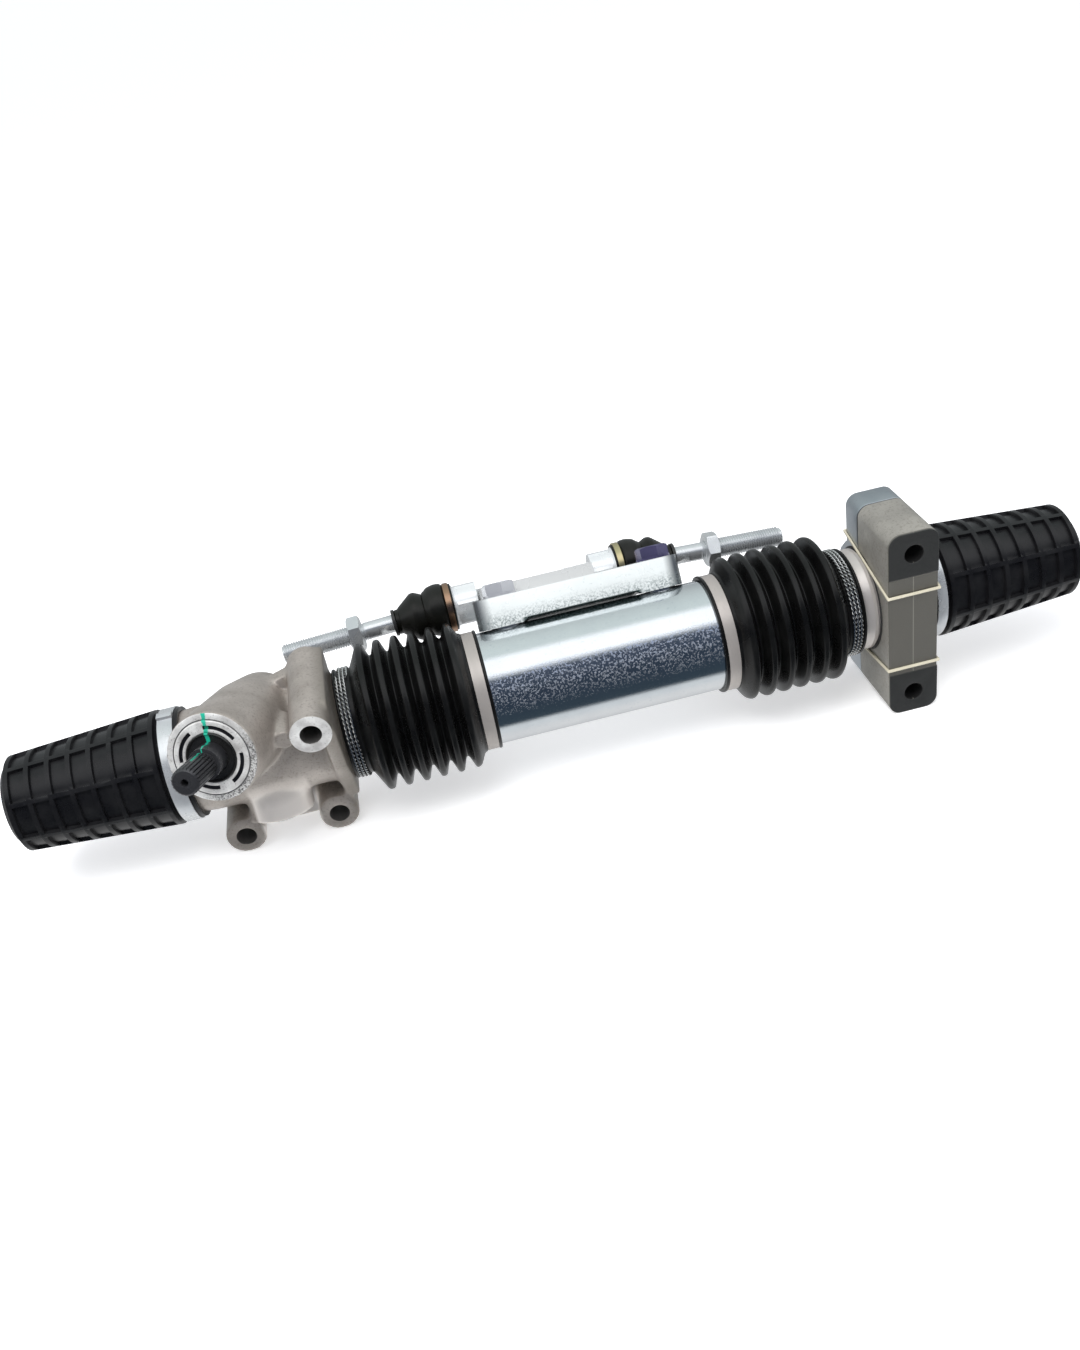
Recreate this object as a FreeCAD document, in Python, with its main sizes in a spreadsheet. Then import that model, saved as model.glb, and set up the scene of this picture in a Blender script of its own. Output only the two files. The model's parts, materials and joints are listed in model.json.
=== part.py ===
import FreeCAD, Part
import Sketcher
import math
import os
import re

# Centre take-off rack and pinion steering gear.
# The rack axis runs along X, the mounting bolts run along Y and the gear stands on
# its two lower bosses and on the foot of its clamp block, so +Z is up.

doc = FreeCAD.newDocument("SteeringRack")

# Driving dimensions, millimetres and degrees
sizes = {
    # place of the rack axis over the point that the gear stands on
    "axisX": 26.1,
    "axisY": 12.75,
    "standHeight": 59.0,
    # clearances
    "slideGap": 0.05,
    "seatGap": 0.1,
    # rack bar and its drive
    "rackRadius": 12.0,
    "rackLeft": 282.0,
    "rackRight": 168.0,
    "toothModule": 2.0,
    "pinionTeeth": 8.0,
    "pressureAngle": 20.0,
    "pitchLine": 9.3,
    "rackAddendum": 0.9,
    "pinionAddendum": 1.9,
    "toothTipGap": 0.45,
    "backlash": 0.42,
    "toothedLength": 130.0,
    "pinionX": 197.6,
    "pinionTilt": 18.2,
    "pinionSkew": 14.5,
    "strokeHalf": 40.0,
    # pinion shaft along its own axis, measured from its crossing with the rack
    "pinionFront": 105.0,
    "splineRadius": 7.3,
    "splineDepth": 0.9,
    "splineTeeth": 24.0,
    "splineLength": 23.0,
    "splineNeckRadius": 6.6,
    "collarRadius": 8.6,
    "collarFront": 80.0,
    "centreHoleRadius": 2.0,
    "centreHoleDepth": 5.0,
    "toothFront": 13.0,
    "toothRear": 12.0,
    "journalRadius": 6.6,
    "journalRear": 24.0,
    "shaftRadius": 7.0,
    # pinion housing casting
    "towerRadius": 24.5,
    "towerFront": 69.0,
    "towerRear": 29.0,
    "towerRearRadius": 21.5,
    "towerStep": 14.0,
    "towerCavity": 12.2,
    "barrelRadius": 30.0,
    "barrelLeft": 236.0,
    "barrelRight": 156.0,
    "barrelBore": 14.5,
    "neckRadius": 28.6,
    "neckEnd": 140.5,
    "columnX": 163.5,
    "columnZ": 35.5,
    "columnFront": 57.0,
    "columnRadius": 11.0,
    "bossBack": 18.0,
    "bossFront": 18.0,
    "bossRadius": 11.6,
    "innerBossX": 167.0,
    "outerBossX": 221.8,
    "boltHoleRadius": 5.75,
    "webFront": 3.0,
    "webBack": 13.0,
    "flangeWidth": 8.0,
    "nubX": 180.0,
    "nubZ": 26.0,
    "nubRoot": 20.0,
    "nubLength": 22.0,
    # bearing, ring nut and seal in the tower's mouth
    "bearingSeat": 17.0,
    "bearingRadius": 17.5,
    "bearingTrack": 14.6,
    "bearingInner": 10.4,
    "bearingBallCircle": 12.5,
    "bearingBallRadius": 2.05,
    "bearingBallCount": 10.0,
    "needleWall": 3.0,
    "ringSeat": 5.0,
    "ringRadius": 20.5,
    "ringHole": 13.7,
    "ringRise": 0.8,
    "ringSlotOuter": 17.4,
    "ringSlotInner": 15.4,
    "ringSlotDepth": 1.2,
    "ringSlotArc": 62.0,
    "ringSlotTurn": 28.0,
    # yoke, its spring and plug, measured from the rack axis
    "yokeRadius": 13.0,
    "yokeBossRadius": 18.5,
    "yokeBossEnd": 42.0,
    "yokeStart": 5.0,
    "yokeLength": 21.0,
    "springFloor": 18.0,
    "springRoom": 7.0,
    "springRadius": 5.4,
    "springWire": 0.8,
    "springPitch": 3.4,
    "springLength": 13.6,
    "plugStart": 33.9,
    "plugRise": 1.5,
    "plugSocketFlats": 14.0,
    "plugSocketDepth": 5.0,
    # tube and right end
    "tubeRadius": 26.0,
    "tubeWall": 3.5,
    "tubeLeft": 170.0,
    "tubeRight": 180.0,
    "slotEndGap": 2.0,
    "slotHalfWidth": 12.0,
    "rackBushLength": 22.0,
    "rackBushStep": 4.0,
    "flareStart": 152.0,
    "flareEnd": 158.4,
    "flareRadius": 30.2,
    "saddleNeckRadius": 28.4,
    "capNeckRadius": 29.4,
    "rightBore": 19.5,
    "capNeckRight": 206.0,
    "capNeckLeft": 254.0,
    # clamp block
    "blockLeft": 160.0,
    "blockWidth": 29.0,
    "blockFront": 41.0,
    "blockBack": 2.0,
    "blockCorner": 7.0,
    "blockHoleZ": 45.8,
    "blockHoleRadius": 5.5,
    "blockWaist": 32.0,
    "blockWaistStep": 1.0,
    "bushWall": 2.4,
    "clampCapFace": 19.0,
    "clampCapWall": 4.0,
    "bandWire": 1.2,
    "bandWidth": 1.8,
    "upperBandZ": 30.6,
    "upperBandTilt": 13.5,
    "lowerBandZ": 30.9,
    "lowerBandTilt": 4.7,
    # rubber end caps
    "leftCapLength": 101.0,
    "rightCapLength": 96.0,
    "capLeftOpen": 238.0,
    "capRightOpen": 190.8,
    "capWall": 2.5,
    "leftCapBody": 13.0,
    "rightCapBody": 10.5,
    "capBigRadius": 33.2,
    "capSmallRadius": 27.6,
    "capChamfer": 3.0,
    "capRib": 2.2,
    "capRibWidth": 2.6,
    "capRibDraft": 0.4,
    "capPockets": 7.0,
    "capRows": 8.0,
    "capTurn": 13.0,
    "clampBandStart": 2.5,
    "clampBandWall": 0.8,
    "clampEarWidth": 5.0,
    "clampEarHeight": 2.6,
    # sliding sleeve and bellows
    "sleeveRadius": 32.6,
    "sleeveWall": 2.6,
    "sleeveHalf": 80.0,
    "sleeveBushLength": 20.0,
    "cuffEdge": 66.2,
    "cuffWall": 1.1,
    "cuffLip": 34.8,
    "steelBandStart": 68.2,
    "steelBandWidth": 6.6,
    "steelBandWall": 0.7,
    "bellowsWall": 1.6,
    "crestRadius": 42.8,
    "valleyRadius": 35.0,
    "crestFirst": 82.0,
    "crestPitch": 10.2,
    "crestCount": 6.0,
    "collarStart": 141.0,
    "collarEnd": 151.0,
    "collarWall": 1.9,
    "collarLip": 1.2,
    "wireRadius": 0.55,
    "wireStart": 143.2,
    # bracket, in its own plane turned towards the back
    "bracketTilt": 30.0,
    "bracketCentre": 3.0,
    "bracketHalf": 60.5,
    "bracketFoot": 32.8,
    "bracketTop": 50.5,
    "bracketFront": 10.2,
    "bracketBack": 11.0,
    "bracketRelief": 2.4,
    "bracketFootLength": 25.0,
    "bracketCorner": 7.0,
    "carrierLeft": 58.0,
    "carrierRight": 10.4,
    "carrierLow": 44.0,
    "carrierHigh": 57.5,
    "carrierBack": 42.0,
    "boltCentre": 1.5,
    "boltHalfSpacing": 46.0,
    "boltRadius": 5.0,
    "boltHeadFlats": 17.0,
    "boltHeadHeight": 6.4,
    "boltReach": 8.0,
    "washerRadius": 10.0,
    "washerThick": 1.5,
    "spacerRadius": 9.0,
    "spotFace": 10.6,
    "guideLow": 22.9,
    "guideHigh": 29.0,
    "guideHalf": 57.5,
    # ball joints, along the tie rod from the ball's centre
    "jointRise": 51.3,
    "jointBack": 31.0,
    "leftBallX": 80.0,
    "rightBallX": 32.2,
    "rodDroop": 3.0,
    "ballRadius": 8.5,
    "seatWall": 1.85,
    "socketRadius": 12.9,
    "socketMouth": 4.0,
    "seatTail": 7.0,
    "socketTail": 7.5,
    "hexFlats": 22.0,
    "hexLength": 13.5,
    "shankRadius": 7.0,
    "shankLength": 16.0,
    "neckThin": 4.6,
    "rodRadius": 5.3,
    "flatsStart": 39.5,
    "flatsEnd": 47.5,
    "flatsHalf": 4.6,
    "threadRadius": 5.9,
    "threadRoot": 5.5,
    "threadStart": 49.0,
    "rodEnd": 99.0,
    "rodEndChamfer": 1.2,
    "nutStart": 50.5,
    "nutHeight": 8.0,
    "nutFlats": 19.0,
    "bootCuffStart": 6.5,
    "bootCuffEnd": 1.0,
    "bootWall": 1.2,
    "bootRingStart": 5.2,
    "bootRingEnd": 1.8,
    "bootDome": 15.6,
    "bootValley": 12.6,
    "bootValleyPlace": 11.0,
    "bootCrest": 14.4,
    "bootCrestPlace": 16.8,
    "bootSmall": 7.4,
    "bootEnd": 29.4,
    "discEnd": 31.2,
    "discRadius": 8.0,
}

sheet = doc.addObject("Spreadsheet::Sheet", "Sizes")
for row, (name, value) in enumerate(sizes.items(), 1):
    sheet.set("A%d" % row, name)
    sheet.set("B%d" % row, str(value))
    sheet.setAlias("B%d" % row, name)
doc.recompute()


def size(name):
    return float(sheet.get(name))


# Every size name in a formula is pointed at the sheet
def bound(formula):
    def cell(word):
        return "Sizes." + word.group() if word.group() in sizes else word.group()
    return re.sub(r"[A-Za-z]\w*", cell, formula)


def bind(thing, prop, formula):
    thing.setExpression(prop, bound(formula))


def vector(x, y, z):
    return FreeCAD.Vector(x, y, z)


turnAxis = vector(1, 0, 0)
upAxis = vector(0, 0, 1)
depthAxis = vector(0, 1, 0)
polesAlongX = FreeCAD.Placement(vector(0, 0, 0), FreeCAD.Rotation(depthAxis, 90))
subParts = []

# Half length of the tube's slot: the guide at both ends of its stroke
slotReach = "(guideHalf + boltCentre + strokeHalf + slotEndGap)"


def rackOrigin():
    return vector(size("axisX"), size("axisY"), size("standHeight"))


# Frames: the rack's own, the bracket's tilted one, the pinion's and each ball joint's
def rackFrame():
    return FreeCAD.Placement(rackOrigin(), FreeCAD.Rotation())


def bracketFrame():
    return FreeCAD.Placement(rackOrigin(), FreeCAD.Rotation(turnAxis, -size("bracketTilt")))


def toothFrame():
    return FreeCAD.Placement(rackOrigin(), FreeCAD.Rotation(turnAxis, -size("pinionTilt")))


def pinionFrame():
    skew = math.radians(size("pinionSkew"))
    axis = vector(-math.sin(skew), -math.cos(skew), 0)
    side = vector(math.cos(skew), -math.sin(skew), 0)
    turn = FreeCAD.Rotation(side, upAxis, axis, "ZXY")
    place = vector(-size("pinionX"), 0, centreDistance())
    return toothFrame().multiply(FreeCAD.Placement(place, turn))


def centreDistance():
    return size("pitchLine") + pitchRadius()


def pitchRadius():
    return size("toothModule") * size("pinionTeeth") / 2


def jointFrame(side):
    x = -size("leftBallX") if side == "left" else size("rightBallX")
    place = FreeCAD.Placement(vector(x, size("jointBack"), size("jointRise")), FreeCAD.Rotation())
    if side == "left":
        place = place.multiply(FreeCAD.Placement(vector(0, 0, 0), FreeCAD.Rotation(upAxis, 180)))
    return bracketFrame().multiply(place)


# A tie rod leaves its joint level across the bench, with a slight droop at its free end
def rodFrame(side):
    centre = jointFrame(side).Base
    sign = -1 if side == "left" else 1
    turn = FreeCAD.Rotation(depthAxis, sign * size("rodDroop"))
    if side == "left":
        turn = turn.multiply(FreeCAD.Rotation(upAxis, 180))
    return FreeCAD.Placement(centre, turn)


# What lies on both sides of the centre is drawn to the right; the left one is turned round
def sideFrame(side):
    frame = rackFrame()
    if side == "left":
        frame.Rotation = FreeCAD.Rotation(upAxis, 180)
    return frame


def finishPart(thing, label, frame):
    thing.Label = label
    thing.Placement = frame
    subParts.append(thing)
    return thing


# Sketch helpers: a closed outline whose corners are tied to the sheet
def originPlane(body, role):
    return [plane for plane in body.Origin.OriginFeatures if plane.Role == role][0]


def newSketch(body, name, role):
    sketch = body.newObject("Sketcher::SketchObject", name)
    sketch.AttachmentSupport = [(originPlane(body, role), "")]
    sketch.MapMode = "FlatFace"
    return sketch


def tieDown(sketch, geometry, position, across, along):
    for kind, formula in (("DistanceX", across), ("DistanceY", along)):
        index = sketch.addConstraint(Sketcher.Constraint(kind, -1, 1, geometry, position, 1.0))
        bind(sketch, "Constraints[%d]" % index, formula)


def outline(sketch, corners):
    count = len(corners)
    first = sketch.GeometryCount
    ring = []
    for index in range(count):
        angle = 2 * math.pi * index / count
        ring.append(vector(10 * math.cos(angle), 20 + 10 * math.sin(angle), 0))
    for index in range(count):
        sketch.addGeometry(Part.LineSegment(ring[index], ring[(index + 1) % count]), False)
    for index in range(count):
        following = first + (index + 1) % count
        sketch.addConstraint(Sketcher.Constraint("Coincident", first + index, 2, following, 1))
    for index, (across, along) in enumerate(corners):
        tieDown(sketch, first + index, 1, across, along)
    return sketch


def circle(sketch, across, along, radius):
    index = sketch.addGeometry(Part.Circle(vector(1, 1, 0), upAxis, 2.0), False)
    tieDown(sketch, index, 3, across, along)
    round_ = sketch.addConstraint(Sketcher.Constraint("Radius", index, 2.0))
    bind(sketch, "Constraints[%d]" % round_, radius)
    return sketch


def newBody(label):
    return doc.addObject("PartDesign::Body", label + "_body")


def revolve(body, sketch, name="Turn"):
    turn = body.newObject("PartDesign::Revolution", name)
    turn.Profile = sketch
    turn.ReferenceAxis = (sketch, ["H_Axis"])
    turn.Angle = 360
    return turn


def pad(body, sketch, length, name="Pad", midplane=False, flip=False):
    block = body.newObject("PartDesign::Pad", name)
    block.Profile = sketch
    bind(block, "Length", length)
    block.Midplane = midplane
    block.Reversed = flip
    return block


def pocket(body, sketch, name="Pocket", length=None, midplane=True, flip=False):
    cut = body.newObject("PartDesign::Pocket", name)
    cut.Profile = sketch
    bind(cut, "Length", length)
    cut.Midplane = midplane
    cut.Reversed = flip
    return cut


# A turned piece: its half section, across the axis, swept round the axis
def solidOfTurn(label, corners):
    body = newBody(label)
    revolve(body, outline(newSketch(body, label + "_section", "XY_Plane"), corners))
    return body


def turned(label, corners, frame):
    return finishPart(solidOfTurn(label, corners), label, frame)


def ring(label, start, end, inner, outer, frame):
    corners = [(start, inner), (end, inner), (end, outer), (start, outer)]
    return turned(label, corners, frame)


# Part primitives tied to the sheet
def rod(name, radius, length, base, direction):
    cylinder = doc.addObject("Part::Cylinder", name)
    bind(cylinder, "Radius", radius)
    bind(cylinder, "Height", length)
    cylinder.Placement = FreeCAD.Placement(base, FreeCAD.Rotation(upAxis, direction))
    return cylinder


def joined(name, pieces):
    fuse = doc.addObject("Part::MultiFuse", name)
    fuse.Shapes = pieces
    fuse.Refine = True
    return fuse


def removed(name, base, tool):
    cut = doc.addObject("Part::Cut", name)
    cut.Base = base
    cut.Tool = tool
    cut.Refine = True
    return cut


# Pinion housing: barrel round the rack, tower round the pinion, column and two bosses
# for the mounting bolts, the web between them and the boss of the rack's yoke.
def barrelBody():
    body = newBody("barrel")
    capNeck = "capNeckRadius"
    corners = [
        ("-capNeckLeft", "0"),
        ("-neckEnd", "0"),
        ("-neckEnd", "neckRadius"),
        ("-barrelRight + 2", "neckRadius"),
        ("-barrelRight", "barrelRadius"),
        ("-barrelLeft + 4", "barrelRadius"),
        ("-barrelLeft", capNeck),
        ("-barrelLeft - 2.5", capNeck),
        ("-barrelLeft - 2.5", capNeck + " - 1.6"),
        ("-barrelLeft - 5", capNeck + " - 1.6"),
        ("-barrelLeft - 5", capNeck),
        ("-capNeckLeft + 1", capNeck),
        ("-capNeckLeft", capNeck + " - 1"),
    ]
    revolve(body, outline(newSketch(body, "barrel_section", "XY_Plane"), corners))
    return body


def webBody():
    body = newBody("web")
    sketch = newSketch(body, "web_outline", "XZ_Plane")
    corners = [
        ("-outerBossX - bossRadius * 0.9", "-standHeight + bossRadius"),
        ("-outerBossX", "-standHeight + 0.4"),
        ("-innerBossX", "-standHeight + 0.4"),
        ("-innerBossX + bossRadius * 0.9", "-standHeight + bossRadius"),
        ("-barrelRight + 1", "0"),
        ("-columnX + columnRadius", "columnZ"),
        ("-columnX", "columnZ + columnRadius * 0.6"),
        ("-columnX - 20", "columnZ + columnRadius * 0.1"),
        ("-barrelLeft + 10", "0"),
    ]
    outline(sketch, corners)
    pad(body, sketch, "webBack - webFront", flip=True)
    body.Placement.Base.y = size("webFront")
    return body


def flangeBody():
    body = newBody("flange")
    sketch = newSketch(body, "flange_outline", "YZ_Plane")
    corners = [
        ("bossBack - 1", "columnZ + columnRadius * 0.8"),
        ("-columnFront + 16", "columnZ + columnRadius * 0.8"),
        ("-columnFront + 10", "columnZ"),
        ("-columnFront + 22", "-5"),
        ("-bossFront + 3", "-standHeight + bossRadius * 1.7"),
        ("bossBack - 1", "-standHeight + bossRadius * 1.4"),
    ]
    outline(sketch, corners)
    pad(body, sketch, "flangeWidth")
    body.Placement.Base.x = -size("barrelRight") - size("flangeWidth") + 3.5
    return body


# Tower round the pinion, rounded off behind the rack
def towerBody(crossing, turn):
    body = alongPinion("tower", [
        ("-towerRear", "0"),
        ("towerFront", "0"),
        ("towerFront", "towerRadius"),
        ("towerStep", "towerRadius"),
        ("-towerRear * 0.5", "towerRearRadius"),
        ("-towerRear * 0.8", "towerRearRadius * 0.8"),
        ("-towerRear", "towerRearRadius * 0.55"),
    ])
    body.Placement = FreeCAD.Placement(crossing, turn)
    return body


def pinionHousing():
    rackDirection = toothFrame().Rotation
    frame = pinionFrame()
    origin = rackOrigin()
    axis = frame.Rotation.multVec(upAxis)
    crossing = frame.Base - origin

    def along(distance):
        return crossing + axis * distance

    def mouth(depth):
        return along(size("towerFront") - depth)

    yokeDirection = rackDirection.multVec(vector(0, 0, -1))
    yokeBase = vector(-size("pinionX"), 0, 0)
    depth = "columnFront + bossBack"
    column = vector(-size("columnX"), size("bossBack"), size("columnZ"))
    lowZ = -size("standHeight") + size("bossRadius")
    inner = vector(-size("innerBossX"), size("bossBack"), lowZ)
    outer = vector(-size("outerBossX"), size("bossBack"), lowZ)
    nub = vector(-size("nubX"), -size("nubRoot"), size("nubZ"))
    front = vector(0, -1, 0)
    solids = [
        barrelBody(),
        webBody(),
        flangeBody(),
        towerBody(crossing, frame.Rotation),
        rod("column", "columnRadius", depth, column, front),
        rod("inner_boss", "bossRadius", "bossFront + bossBack", inner, front),
        rod("outer_boss", "bossRadius", "bossFront + bossBack", outer, front),
        rod("yoke_boss", "yokeBossRadius", "yokeBossEnd", yokeBase, yokeDirection),
        rod("nub", "columnRadius / 2", "nubLength", nub, front),
    ]
    bores = [
        rod("barrel_bore", "barrelBore", "capNeckLeft", vector(-size("capNeckLeft"), 0, 0), turnAxis),
        rod("pinion_bore", "towerCavity", "towerFront", along(-size("toothRear") - 1), axis),
        rod("rear_bore", "journalRadius + needleWall", "30", along(-size("journalRear") - 1), axis),
        rod("bearing_bore", "bearingRadius + slideGap", "towerFront", mouth(size("bearingSeat")), axis),
        rod("ring_bore", "ringRadius + slideGap", "towerFront", mouth(size("ringSeat")), axis),
        rod("yoke_bore", "yokeRadius + slideGap", "yokeBossEnd + 5", yokeBase, yokeDirection),
        rod("column_hole", "boltHoleRadius", depth + " + 2", column + depthAxis, front),
        rod("inner_hole", "boltHoleRadius", depth + " + 2", inner + depthAxis, front),
        rod("outer_hole", "boltHoleRadius", depth + " + 2", outer + depthAxis, front),
        rod("tube_seat", "tubeRadius + slideGap", "tubeLeft", vector(-size("tubeLeft"), 0, 0), turnAxis),
    ]
    casting = removed("housing_casting", joined("housing_solids", solids), joined("housing_bores", bores))
    return finishPart(casting, "pinion_housing", rackFrame())


# Tube that joins the pinion housing to the right end, slotted for the bracket's bolts
def housingTube():
    tube = newBody("tube")
    corners = [
        ("-tubeLeft", "tubeRadius - tubeWall"),
        ("tubeRight", "tubeRadius - tubeWall"),
        ("tubeRight", "tubeRadius"),
        ("-tubeLeft", "tubeRadius"),
    ]
    revolve(tube, outline(newSketch(tube, "tube_section", "XY_Plane"), corners))
    slot = newSketch(tube, "slot_outline", "XY_Plane")
    slotCorners = [
        ("-" + slotReach, "-slotHalfWidth"),
        (slotReach, "-slotHalfWidth"),
        (slotReach, "slotHalfWidth"),
        ("-" + slotReach, "slotHalfWidth"),
    ]
    outline(slot, slotCorners)
    pocket(tube, slot, "Slot", "tubeRadius + 1", midplane=False, flip=True)
    return finishPart(tube, "housing_tube", bracketFrame())


def rightEndHousing():
    corners = [
        ("neckEnd", "tubeRadius + slideGap"),
        ("tubeRight + seatGap", "tubeRadius + slideGap"),
        ("tubeRight + seatGap", "rightBore"),
        ("capNeckRight", "rightBore"),
        ("capNeckRight", "capNeckRadius - 1"),
        ("capNeckRight - 1", "capNeckRadius"),
        ("blockLeft + blockWidth + bandWire + 3 * seatGap", "capNeckRadius"),
        ("blockLeft + blockWidth + bandWire + 3 * seatGap", "saddleNeckRadius"),
        ("flareEnd + 0.2", "saddleNeckRadius"),
        ("flareEnd", "flareRadius"),
        ("flareEnd - 2", "flareRadius"),
        ("flareStart", "neckRadius"),
        ("neckEnd", "neckRadius"),
    ]
    return turned("right_end_housing", corners, rackFrame())


# Plate of the right mount, seen from the front as a tall rectangle with rounded corners
def roundedPlate(body, name, front, back):
    sketch = newSketch(body, name + "_face", "XZ_Plane")
    outline(sketch, [
        ("0", "-standHeight"),
        ("blockWidth", "-standHeight"),
        ("blockWidth", "standHeight"),
        ("0", "standHeight"),
    ])
    bind(sketch, "AttachmentOffset.Base.z", "-(" + back + ")")
    plate = pad(body, sketch, "(" + back + ") - (" + front + ")")
    doc.recompute()
    corners = []
    for index, edge in enumerate(plate.Shape.Edges, 1):
        run = edge.Vertexes[1].Point - edge.Vertexes[0].Point
        if abs(run.y) > abs(run.x) + abs(run.z):
            corners.append("Edge%d" % index)
    fillet = body.newObject("PartDesign::Fillet", name + "_corners")
    fillet.Base = (plate, corners)
    bind(fillet, "Radius", "blockCorner")
    return fillet


# Clamp block: front half of the right mount, with a waisted face between its two pads
def clampBlock():
    body = newBody("block")
    roundedPlate(body, "block", "-blockFront", "blockBack")
    waist = newSketch(body, "waist", "YZ_Plane")
    outline(waist, [
        ("-blockFront - 1", "-blockWaist"),
        ("-blockFront", "-blockWaist"),
        ("-blockFront + blockWaistStep", "-blockWaist + blockWaistStep"),
        ("-blockFront + blockWaistStep", "blockWaist - blockWaistStep"),
        ("-blockFront", "blockWaist"),
        ("-blockFront - 1", "blockWaist"),
    ])
    pocket(body, waist, "Waist", "blockWidth * 3")
    saddle = newSketch(body, "saddle", "YZ_Plane")
    circle(saddle, "0", "0", "saddleNeckRadius + bushWall + seatGap")
    pocket(body, saddle, "Saddle", "blockWidth * 3")
    holes = newSketch(body, "bolt_holes", "XZ_Plane")
    circle(holes, "blockWidth / 2", "blockHoleZ", "blockHoleRadius")
    circle(holes, "blockWidth / 2", "-blockHoleZ", "blockHoleRadius")
    pocket(body, holes, "BoltHoles", "blockFront * 4")
    frame = rackFrame()
    frame.Base.x += size("blockLeft")
    return finishPart(body, "clamp_block", frame)


# Clamp cap: the rear half, with flat flanges and a hump over the rubber bush
def clampCap():
    body = newBody("cap")
    roundedPlate(body, "cap", "blockBack + seatGap", "clampCapFace")
    hump = newSketch(body, "hump", "YZ_Plane")
    high = "(saddleNeckRadius + bushWall + clampCapWall)"
    humpCorners = [
        ("clampCapFace - 1", "-" + high + " * 0.85"),
        ("clampCapFace + 2", "-" + high + " * 0.8"),
        (high + " * 0.8", "-" + high + " * 0.6"),
        (high, "-" + high + " * 0.25"),
        (high, high + " * 0.25"),
        (high + " * 0.8", high + " * 0.6"),
        ("clampCapFace + 2", high + " * 0.8"),
        ("clampCapFace - 1", high + " * 0.85"),
    ]
    outline(hump, humpCorners)
    pad(body, hump, "blockWidth", "Hump")
    saddle = newSketch(body, "cap_saddle", "YZ_Plane")
    circle(saddle, "0", "0", "saddleNeckRadius + bushWall + seatGap")
    pocket(body, saddle, "Saddle", "blockWidth * 3")
    holes = newSketch(body, "cap_holes", "XZ_Plane")
    circle(holes, "blockWidth / 2", "blockHoleZ", "blockHoleRadius")
    circle(holes, "blockWidth / 2", "-blockHoleZ", "blockHoleRadius")
    pocket(body, holes, "BoltHoles", "blockFront * 4")
    frame = rackFrame()
    frame.Base.x += size("blockLeft")
    return finishPart(body, "clamp_cap", frame)


# Elastic bands that hold the two halves of the mount together until it is bolted up
def retainingBands():
    loops = []
    for name, height, tilt in (
        ("upper_band", size("upperBandZ"), size("upperBandTilt")),
        ("lower_band", -size("lowerBandZ"), -size("lowerBandTilt")),
    ):
        body = newBody(name)
        sketch = newSketch(body, name + "_loop", "XY_Plane")
        slope = " / cos(%sBandTilt)" % name.split("_")[0]
        lean = " + bandWidth / 2 * sin(%sBandTilt)" % name.split("_")[0]
        for gap in ("bandWire + seatGap", "seatGap"):
            left = "blockLeft - " + gap.replace(" + ", " - ")
            right = "blockLeft + blockWidth + " + gap
            front = "-(blockFront - blockWaistStep + " + gap + lean + ")" + slope
            back = "(clampCapFace + " + gap + lean + ")" + slope
            outline(sketch, [(left, front), (right, front), (right, back), (left, back)])
        pad(body, sketch, "bandWidth", midplane=True)
        body.Placement = FreeCAD.Placement(vector(0, 0, height), FreeCAD.Rotation(turnAxis, tilt))
        loops.append(body)
    return finishPart(joined("band_loops", loops), "retaining_bands", rackFrame())


# Rubber end cap, open at its own X = 0 and closed at the far end, waffled outside
def endCap(side):
    body = newBody("cap_" + side)
    sketch = newSketch(body, "cap_section_" + side, "XY_Plane")
    pockets = int(size("capPockets"))
    length = side + "CapLength"
    start = side + "CapBody"
    neckReach = "capNeckLeft - capLeftOpen" if side == "left" else "capNeckRight - capRightOpen"
    halfRib = "(capRibWidth / 2 + capRibDraft)"
    reach = "(" + length + " - capChamfer - " + start + " - 2 * " + halfRib + ")"
    drop = "(capBigRadius - capSmallRadius)"
    corners = [
        ("0", "capNeckRadius + slideGap"),
        (neckReach, "capNeckRadius + slideGap"),
        (neckReach + " + 3", "capNeckRadius - 3"),
        (length + " - capWall - capChamfer", "capSmallRadius - capWall - capRib"),
        (length + " - capWall", "capSmallRadius - capWall - capRib - capChamfer"),
        (length + " - capWall", "0"),
        (length, "0"),
        (length, "capSmallRadius - capRib - capChamfer"),
        (length + " - capChamfer", "capSmallRadius - capRib"),
    ]
    for index in range(pockets, -1, -1):
        share = "%d / capPockets" % index
        centre = start + " + " + halfRib + " + " + reach + " * " + share
        high = "capBigRadius - " + drop + " * " + share
        if index < pockets:
            corners.append((centre + " + " + halfRib, high + " - capRib"))
        corners.append((centre + " + capRibWidth / 2", high))
        corners.append((centre + " - capRibWidth / 2", high))
        corners.append((centre + " - " + halfRib, high + " - capRib"))
    corners.append((start + " - 1.5", "capNeckRadius + capWall"))
    corners.append(("0", "capNeckRadius + capWall"))
    revolve(body, outline(sketch, corners))
    rib = newSketch(body, "cap_rib_" + side, "XY_Plane")
    ribCorners = [
        (start + " + " + halfRib, "capBigRadius - capRib - 0.8"),
        (length + " - capChamfer - " + halfRib, "capSmallRadius - capRib - 0.8"),
        (length + " - capChamfer - " + halfRib, "capSmallRadius"),
        (start + " + " + halfRib, "capBigRadius"),
    ]
    outline(rib, ribCorners)
    strip = pad(body, rib, "capRibWidth", "Rib", midplane=True)
    doc.recompute()
    pattern = body.newObject("PartDesign::PolarPattern", "Ribs")
    pattern.Originals = [strip]
    pattern.Axis = (originPlane(body, "X_Axis"), [""])
    pattern.Angle = 360
    bind(pattern, "Occurrences", "capRows")
    body.Tip = pattern
    frame = capFrame(side)
    turn = FreeCAD.Rotation(turnAxis, size("capTurn"))
    frame.Rotation = turn.multiply(frame.Rotation)
    return finishPart(body, "end_cap_" + side, frame)


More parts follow.
